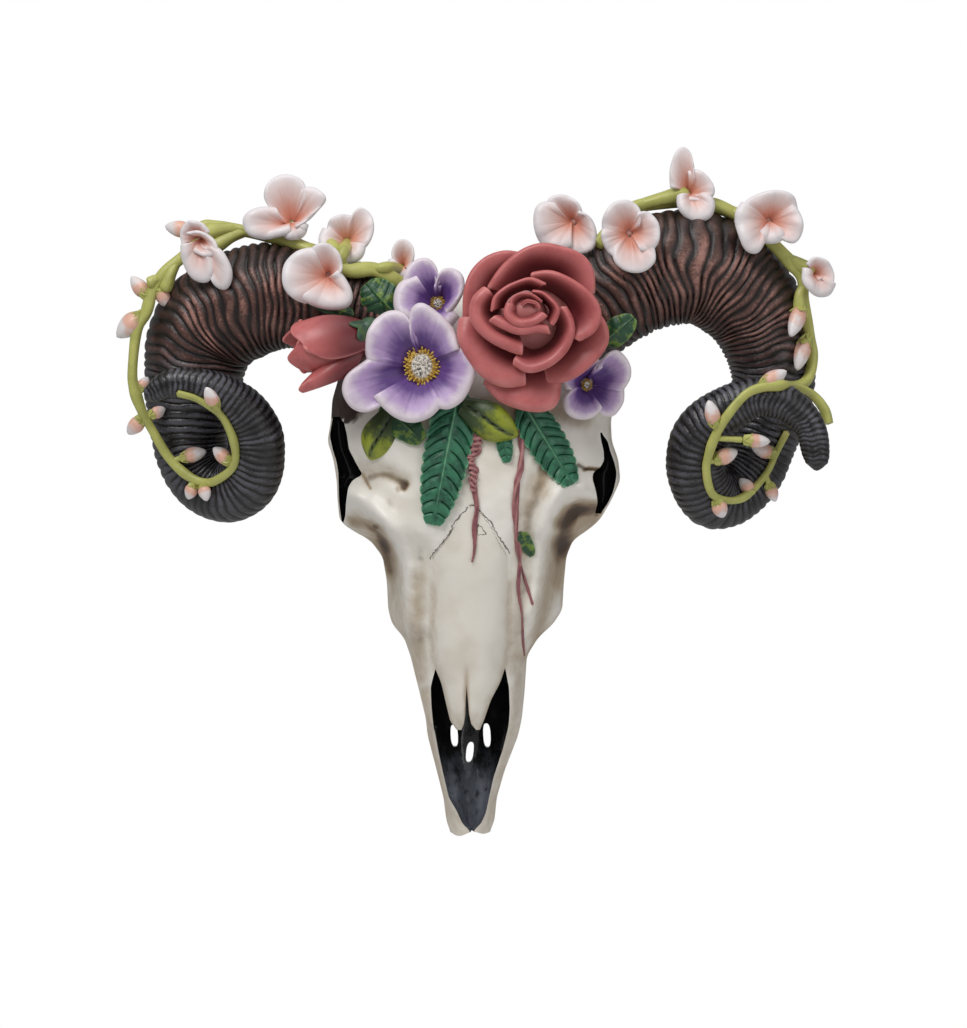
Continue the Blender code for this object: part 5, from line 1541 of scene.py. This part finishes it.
# Short green spurs that carry the blossoms: root and end as (side, height), the two radii
SPURS_LEFT = [
    (-90, 93, -80, 96, 2.2, 3.4), (-58, 80, -55.4, 89, 2.0, 3.0), (-103, 96, -116, 94, 2.4, 3.6),
    (-99, 95, -112, 88.8, 2.0, 3.0), (-58, 79, -62, 75.5, 1.8, 2.4), (-43, 78, -32.6, 78, 2.0, 2.6),
    (-137, 74, -140.6, 72.6, 1.8, 2.6), (-129, 82, -134, 70.6, 1.8, 2.6),
]
SPURS_RIGHT = [
    (73, 106, 90, 110.6, 2.4, 3.6), (70, 105, 67.5, 96, 2.2, 3.0), (112, 103, 124, 100, 2.4, 3.6),
    (135, 83, 145, 77.6, 2.2, 3.2), (141, 71, 140.6, 62, 2.0, 2.6), (58, 94, 53.6, 89, 1.8, 2.6),
    (90, 107, 98, 103, 2.0, 2.8),
]


def vine_samples(points, count):
    """A vine's route over whatever stands behind it, with its radius."""
    route = []
    start, end = VINE_RADII
    for index, (x, z) in enumerate(points):
        radius = start + (end - start) * index / (len(points) - 1)
        seat = ground(x, z)
        route.append([x, (seat if seat else OPEN_DEPTH) + radius * 0.8, z, radius])
    for _ in range(3):
        depths = [point[1] for point in route]
        for index in range(1, len(route) - 1):
            around = (depths[index - 1] + depths[index] + depths[index + 1]) / 3
            route[index][1] = max(depths[index], around)
    return smooth_route(route, count)


def vine_finish(settings):
    """Yellow green with a tan flush, pale on the raised parts, a painted highlight, and dark in the creases,
    painted shade.
    """
    coat = Finish("vine_green")
    relief = coat.attribute("relief")
    cloud, fine = coat.noise(10), coat.noise(1.0)
    body = coat.blend(settings.vine, paint(98, 108, 42), (cloud * 0.5 + 0.5).between(0.2, 0.85))
    body = coat.blend(body, paint(186, 150, 96), (cloud * -1.0).between(0.25, 0.9) * 0.6)
    # Painted highlight on the raised parts and painted shade in the creases
    body = coat.blend(body, paint(208, 206, 118), (relief + fine * 0.1).between(0.15, 0.85) * 0.55)
    body = coat.blend(body, paint(66, 72, 24), (relief + fine * 0.1).between(-0.05, -0.6))
    return coat.done(body, fine * 0.04 + 0.38, fine * 0.4, 0.3, 0.25)


def bud_finish():
    """A small bud's paint: green at its foot, then pink, then white."""
    coat = Finish("bud_white")
    tip = coat.attribute("along")
    cloud, fine = coat.noise(4), coat.noise(0.9)
    body = coat.blend(paint(158, 156, 84), paint(228, 178, 158), (tip + cloud * 0.12).between(0.06, 0.3))
    body = coat.blend(body, paint(232, 226, 226), (tip + cloud * 0.2).between(0.35, 0.75))
    return coat.done(body, fine * 0.03 + 0.38, fine * 0.3, 0.25, 0.25)


def build_buds(name, samples, buds):
    """Teardrop buds on short stalks, with the cup and stalk of each as a piece of its own."""
    drops, cups = [], []
    for index, (x, z, rx, rz, length, radius) in enumerate(buds):
        nearest = samples[np.hypot(samples[:, 0] - rx, samples[:, 2] - rz).argmin()]
        root = Vector((nearest[0], -nearest[1], nearest[2]))
        seat = max(ground(x, z) + radius * 0.8, nearest[1] - 2)
        middle = world(x, seat, z)
        forward = (middle - root).normalized()
        start, end = middle - forward * length * 0.42, middle + forward * length * 0.5
        matrix = aim(start, end)

        def place(s, t, matrix=matrix, length=length, radius=radius, index=index):
            wide = np.sin(math.pi * t ** 0.9) ** 0.6 * (1 - 0.22 * t) * radius * 1.12
            wide = wide * (1 + 0.05 * np.cos(3 * math.pi * s + index))
            turn = math.pi * s
            points = np.stack([wide * np.cos(turn), wide * np.sin(turn), length * 0.95 * t], 1)
            return moved(points, matrix).T

        drop = weld(sheet("drop", 14, 16, place))
        flat = places_of(drop)
        store(drop, "along", np.clip((flat - np.array(start)) @ np.array(forward) / length, 0, 1))
        drops.append(drop)
        half_way = (root + start) / 2
        route = smooth_route([
            (root.x, -root.y, root.z, 1.3), (half_way.x, -half_way.y + 0.4, half_way.z, 1.2),
            (start.x, -start.y, start.z, 1.5),
        ], 10)
        cups.append(tube("bud_stalk", route, 8))
        cup = matrix @ Matrix.Translation((0, 0, -0.4))
        for turn in (0, 90, 180, 270):
            cups.append(petal("bud_cup", cup, turn + 20 * index, 0.5, length * 0.4, radius * 1.5, 62))
    return joined(name + "_buds", drops), joined(name + "_cups", cups)


# Vines: side, route, buds, spurs, rings
VINES = [
    ("left", VINE_LEFT, BUDS_LEFT, SPURS_LEFT, []),
    ("right", VINE_RIGHT, BUDS_RIGHT, SPURS_RIGHT, [VINE_RING]),
]
RING_THINNER = (1, 1, 1, 0.85)


def knotted(turn, row):
    """How far a vine swells, with a knot at even spaces."""
    knots = np.exp(-((np.mod(row, KNOT_SPACING) - KNOT_SPACING / 2) / 5.0) ** 2)
    return 1 + 0.2 * knots + 0.07 * np.sin(3 * turn + row * 0.05) + 0.05 * np.sin(row * 0.19)


def ribbed(turn, row):
    """How far a spur swells: five ribs round it."""
    return 1 + 0.14 * np.abs(np.sin(2.5 * turn))


def build_spur(samples, x0, z0, x1, z1, thin, thick):
    """A ribbed spur that leaves the vine's samples and ends behind a blossom."""
    nearest = samples[np.hypot(samples[:, 0] - x0, samples[:, 2] - z0).argmin()]
    depth = nearest[1] + 1.5
    route = [
        (nearest[0], depth - 1.5, nearest[2], thin),
        ((x0 + x1) / 2, depth - 0.4, (z0 + z1) / 2 + 0.6, thin + 0.3),
        (x1, min(depth - 0.6, SPUR_DEPTH), z1, thick),
        (x1 + 0.16 * (x1 - x0), min(depth, SPUR_DEPTH) - 1, z1 + 0.16 * (z1 - z0), thick * 0.35),
    ]
    return tube("spur", smooth_route(route, 24), 16, 1.0, ribbed)


class ORNAMENT_OT_vines(bpy.types.Operator):
    """Build the two vines with their stalks, cups and buds"""
    bl_idname = "ornament.vines"
    bl_label = "Vines"

    def execute(self, context):
        green = vine_finish(context.scene.ornament_greens)
        white = bud_finish()
        for side, points, buds, spurs, rings in VINES:
            samples = vine_samples(points, VINE_ROWS)
            stems = [tube(f"vine_{side}_stem", samples, 16, 1.0, knotted)]
            stems += [build_spur(samples, *spur) for spur in spurs]
            for ring in rings:
                stems.append(tube("ring", vine_samples(ring, 60)[::-1] * RING_THINNER, 14, 1.0, knotted))
            vine = joined(f"vine_{side}_stem", stems)
            paint_relief(vine, 12, 0.4)
            finish(vine, green, (f"vine_{side}",))
            drops, cups = build_buds(f"vine_{side}", samples, buds)
            paint_relief(cups, 4, 0.3)
            finish(drops, white)
            finish(cups, green)
        return {"FINISHED"}


# Blossoms: node, place, yaw, pitch, depth of the cup, rims of the petals
BLOSSOMS = [
    ("left_1", (-79.2, 46, 97.8), -4, 6, 6.5, [
        (0.0, [(-7.6, 4.0), (-12.0, 11.0), (-9.6, 18.2), (-3.0, 21.4), (5.0, 18.6), (7.6, 11.0)]),
        (1.2, [(4.6, 15.6), (10.4, 15.4), (15.8, 10.4), (12.6, 5.2), (8.0, 0.4), (3.0, -3.6)]),
        (0.8, [(-6.4, 5.4), (-13.4, 5.4), (-19.4, 1.6), (-18.0, -4.4), (-12.0, -6.4), (-5.6, -5.6),
               (0.0, -5.0)]),
        (-1.0, [(-4.0, -4.4), (0.0, -7.0), (5.0, -5.6), (7.0, -1.0)]),
    ]),
    ("left_2", (-119, 52, 91.5), -10, -10, 5.5, [
        (-0.8, [(-7.4, -3.0), (-8.0, 3.6), (-3.6, 8.6), (2.6, 7.4), (6.0, 3.0)]),
        (1.4, [(-5.0, 3.6), (1.6, 4.6), (8.4, 0.0), (9.6, -5.4), (4.0, -7.6), (-2.6, -5.6)]),
        (0.0, [(-6.4, -2.0), (-5.6, -10.0), (-1.6, -16.4), (4.4, -17.2), (6.8, -10.0), (5.0, -4.0)]),
        (1.6, [(5.4, -6.6), (6.2, -14.0), (8.6, -19.4), (12.4, -20.4), (14.4, -14.4), (11.6, -7.0),
               (7.6, -4.0)]),
    ]),
    ("left_3", (-62.8, 64, 74.8), 6, 0, 6.5, [
        (0.8, [(-9.6, 8.0), (-7.6, 12.6), (-2.0, 14.4), (3.8, 10.6), (6.0, 4.0), (4.4, -1.0)]),
        (0.0, [(-7.0, 11.0), (-13.8, 9.4), (-18.8, 4.0), (-19.4, -3.6), (-15.8, -8.8), (-9.6, -11.4)]),
        (1.0, [(-12.6, -9.0), (-6.4, -12.4), (1.0, -14.0), (7.2, -12.8), (8.6, -8.4), (6.0, -2.0),
               (3.0, 2.0)]),
    ]),
    ("left_4", (-55.4, 46, 90.2), 4, 10, 5.5, [
        (0.6, [(1.0, 10.0), (5.4, 14.4), (10.4, 11.4), (11.8, 4.0), (9.0, -3.0), (4.0, -6.0)]),
        (-0.4, [(-9.4, 2.0), (-8.0, 8.6), (-2.4, 11.6), (3.0, 11.0)]),
        (1.0, [(-9.6, 5.0), (-11.6, -1.0), (-8.6, -7.8), (-1.6, -10.2), (5.0, -8.4), (7.0, -3.0)]),
    ]),
    ("left_5", (-31.2, 44, 79.5), 2, 10, 4.0, [
        (0.6, [(-4.6, 0.0), (-5.2, 6.0), (-2.6, 10.8), (1.4, 11.4), (4.6, 8.0), (5.0, 2.0), (2.6, -3.0)]),
        (0.0, [(-5.0, 2.4), (-6.6, -2.4), (-3.0, -6.4), (2.6, -5.6)]),
    ]),
    ("right_1", (42.6, 48, 99), -6, 4, 6.0, [
        (0.8, [(-8.6, 7.4), (-14.6, 5.4), (-15.6, -2.4), (-12.6, -10.0), (-5.6, -12.8), (0.0, -11.6)]),
        (0.0, [(-12.4, 6.0), (-9.6, 10.4), (-3.0, 11.2), (3.0, 7.4), (5.6, 1.0)]),
        (1.2, [(3.0, 4.6), (8.4, 1.0), (11.0, -6.0), (9.6, -13.0), (3.4, -15.4), (-2.4, -13.4)]),
    ]),
    ("right_2", (66.6, 66, 93.4), 4, 2, 6.5, [
        (0.4, [(-12.6, -1.0), (-12.6, 6.0), (-8.2, 12.4), (-1.0, 13.8), (4.0, 10.2), (4.8, 3.6)]),
        (1.2, [(2.6, 8.6), (7.6, 8.8), (12.0, 4.0), (12.6, -3.0), (9.8, -8.0), (4.0, -9.0)]),
        (0.8, [(10.4, -6.4), (10.6, -13.0), (5.6, -17.6), (-1.6, -17.8), (-7.4, -13.8), (-8.6, -7.0)]),
        (-0.2, [(-7.0, -12.0), (-11.4, -7.6), (-13.4, -1.0), (-10.6, 4.0)]),
    ]),
    ("right_3", (92.6, 42, 111.6), 6, 10, 5.5, [
        (0.8, [(-9.0, 1.0), (-9.0, 9.0), (-6.4, 16.6), (-2.6, 19.4), (0.8, 16.6), (2.4, 8.0)]),
        (0.0, [(-1.0, 9.6), (4.4, 9.4), (9.6, 4.4), (11.0, -1.6), (6.2, -5.0), (-2.0, -5.0)]),
        (1.2, [(-5.0, -2.6), (-4.4, -9.0), (1.2, -13.4), (7.6, -11.8), (9.4, -6.0), (6.0, -2.4)]),
    ]),
    ("right_4", (127.2, 46, 99.2), 10, 4, 7.0, [
        (0.0, [(-14.0, 3.6), (-11.0, 8.8), (-3.4, 12.4), (4.6, 13.0), (10.6, 10.2), (12.6, 4.0)]),
        (1.4, [(-12.6, 7.0), (-15.6, 2.0), (-14.6, -6.4), (-11.8, -12.8), (-7.6, -14.0), (-4.6, -9.4)]),
        (0.8, [(10.0, 7.6), (13.4, 1.6), (13.6, -6.0), (10.0, -10.6), (4.6, -9.6)]),
        (-0.8, [(-6.0, -6.0), (-2.0, -9.6), (3.0, -9.0), (6.0, -6.0)]),
    ]),
    ("right_5", (146, 42, 76.6), 20, 0, 4.5, [
        (0.6, [(-4.6, 4.0), (-1.0, 7.4), (5.4, 5.8), (8.9, 0.4), (7.8, -4.8), (3.0, -3.0)]),
        (0.0, [(-4.8, 2.4), (-5.0, -4.0), (0.0, -8.8), (6.0, -8.6), (8.6, -4.0)]),
    ]),
]


class ORNAMENT_OT_blossoms(bpy.types.Operator):
    """Build the ten pale blossoms along the vines"""
    bl_idname = "ornament.blossoms"
    bl_label = "Blossoms"

    def execute(self, context):
        settings = context.scene.ornament_flowers
        material = petal_finish("blossom_pale", paint(232, 226, 228), settings.blossom, settings.throat,
                                paint(206, 142, 126), (0.08, 0.66), (0.55, 0.9), 11.0, 0.6)
        cups = []
        for number, (name, place, yaw, pitch, cup, petals) in enumerate(BLOSSOMS):
            matrix = facing(place, yaw, pitch)
            pieces = []
            for index, (lift, rim) in enumerate(petals):
                pieces.append(rim_petal(
                    "blossom_petal", matrix, rim, cup + lift, lift * 0.3 - 2, 0.08, cup * 0.24,
                    index + 7 * number, 30, 14, settings.petal / MM, ruffle=cup * 0.1, sag=cup * 0.2,
                    steep=1.6, pleats=0.5))
            pieces.append(bead("throat", matrix, (0, 0, -3.2), 1.7, (1, 1, 1), 12, 8))
            cups.append(bead("cup", matrix, (0, 0, -6.6), 3.0, (1, 1, 1.25), 14, 10))
            blossom = joined(f"blossom_{name}_petals", pieces)
            paint_relief(blossom, 12, 0.8)
            finish(blossom, material, (f"blossom_{name}",))
        green = joined("blossom_cups", cups)
        paint_relief(green, 4, 0.3)
        finish(green, bpy.data.materials["vine_green"])
        return {"FINISHED"}


# The stage, in metres

ORNAMENT_MIDDLE = (0.0, -0.05, 0.0)
SKY_STRENGTH = 0.3
# The point in the middle of the picture, the picture's longer side in pixels and the camera's in millimetres
PICTURE_MIDDLE = (0.0037, -0.05, -0.0276)
PICTURE_PIXELS = 1028
SENSOR = 36


def add_light(name, place, power, size):
    """A square soft light that looks at the ornament's middle."""
    pick()
    bpy.ops.object.light_add(type="AREA", location=place)
    light = bpy.context.active_object
    light.name = name
    light.data.energy = power
    light.data.size = size
    light.rotation_euler = (Vector(ORNAMENT_MIDDLE) - Vector(place)).to_track_quat("-Z", "Y").to_euler()


def add_studio(scene):
    """Even white light all round, and a white ground where the camera looks past the floor."""
    studio = bpy.data.worlds.new("studio")
    scene.world = studio
    studio.use_nodes = True
    tree = studio.node_tree
    sky, backdrop = tree.nodes["Background"], tree.nodes.new("ShaderNodeBackground")
    for light, strength in ((sky, SKY_STRENGTH), (backdrop, 1.0)):
        light.inputs["Color"].default_value = (1, 1, 1, 1)
        light.inputs["Strength"].default_value = strength
    path, mixer = tree.nodes.new("ShaderNodeLightPath"), tree.nodes.new("ShaderNodeMixShader")
    tree.links.new(path.outputs["Is Camera Ray"], mixer.inputs[0])
    tree.links.new(sky.outputs[0], mixer.inputs[1])
    tree.links.new(backdrop.outputs[0], mixer.inputs[2])
    tree.links.new(mixer.outputs[0], tree.nodes["World Output"].inputs[0])
    scene.view_settings.view_transform = "Standard"


class ORNAMENT_OT_stage(bpy.types.Operator):
    """Add the floor, the soft studio light and the camera"""
    bl_idname = "ornament.stage"
    bl_label = "Stage"

    def execute(self, context):
        settings = context.scene.ornament_stage
        pick()
        bpy.ops.mesh.primitive_grid_add(
            x_subdivisions=8, y_subdivisions=8, size=1.2, location=(0, 0, -settings.floor_drop))
        floor = context.active_object
        floor.name = "floor"
        coat = Finish("pale_floor")
        cloud = coat.noise(60)
        colour = coat.blend(paint(236, 236, 235), paint(228, 228, 228), cloud.between(-1, 1))
        floor.data.materials.append(coat.done(colour, 0.7))
        add_light("key_light", (-0.7, -1.15, 1.3), settings.key_power, 0.9)
        add_light("fill_light", (1.1, -1.1, 0.35), settings.fill_power, 1.1)
        add_light("top_light", (0.1, -0.25, 1.35), settings.fill_power * 0.8, 1.0)
        add_studio(context.scene)
        distance = settings.camera_distance
        side, depth, height = PICTURE_MIDDLE
        bpy.ops.object.camera_add(location=(side, depth - distance, height), rotation=(math.pi / 2, 0, 0))
        camera = context.active_object
        camera.data.sensor_fit = "AUTO"
        camera.data.sensor_width = SENSOR
        camera.data.lens = SENSOR * distance / (PICTURE_PIXELS * PIXEL * MM)
        camera.data.clip_end = 20
        context.scene.camera = camera
        return {"FINISHED"}


OPERATORS = [
    ORNAMENT_OT_skull, ORNAMENT_OT_horns, ORNAMENT_OT_rose, ORNAMENT_OT_anemones, ORNAMENT_OT_rose_bud,
    ORNAMENT_OT_leaves, ORNAMENT_OT_roots, ORNAMENT_OT_vines, ORNAMENT_OT_blossoms, ORNAMENT_OT_stage,
]


class ORNAMENT_PT_panel(bpy.types.Panel):
    """The ornament's sizes, colours and pieces"""
    bl_idname = "ORNAMENT_PT_panel"
    bl_label = "Ram Skull Ornament"
    bl_space_type = "VIEW_3D"
    bl_region_type = "UI"
    bl_category = "Ornament"

    def draw(self, context):
        layout = self.layout
        for group, kind in GROUPS.items():
            box = layout.box()
            for key in kind.__annotations__:
                box.prop(getattr(context.scene, group), key)
        for kind in OPERATORS:
            layout.operator(kind.bl_idname)


def register():
    for group, kind in GROUPS.items():
        bpy.utils.register_class(kind)
        setattr(bpy.types.Scene, group, bpy.props.PointerProperty(type=kind))
    for kind in OPERATORS + [ORNAMENT_PT_panel]:
        bpy.utils.register_class(kind)


def unregister():
    for kind in reversed(OPERATORS + [ORNAMENT_PT_panel]):
        bpy.utils.unregister_class(kind)
    for group, kind in GROUPS.items():
        delattr(bpy.types.Scene, group)
        bpy.utils.unregister_class(kind)


def main():
    register()
    for kind in OPERATORS:
        group, name = kind.bl_idname.split(".")
        getattr(getattr(bpy.ops, group), name)()


if __name__ == "__main__":
    main()
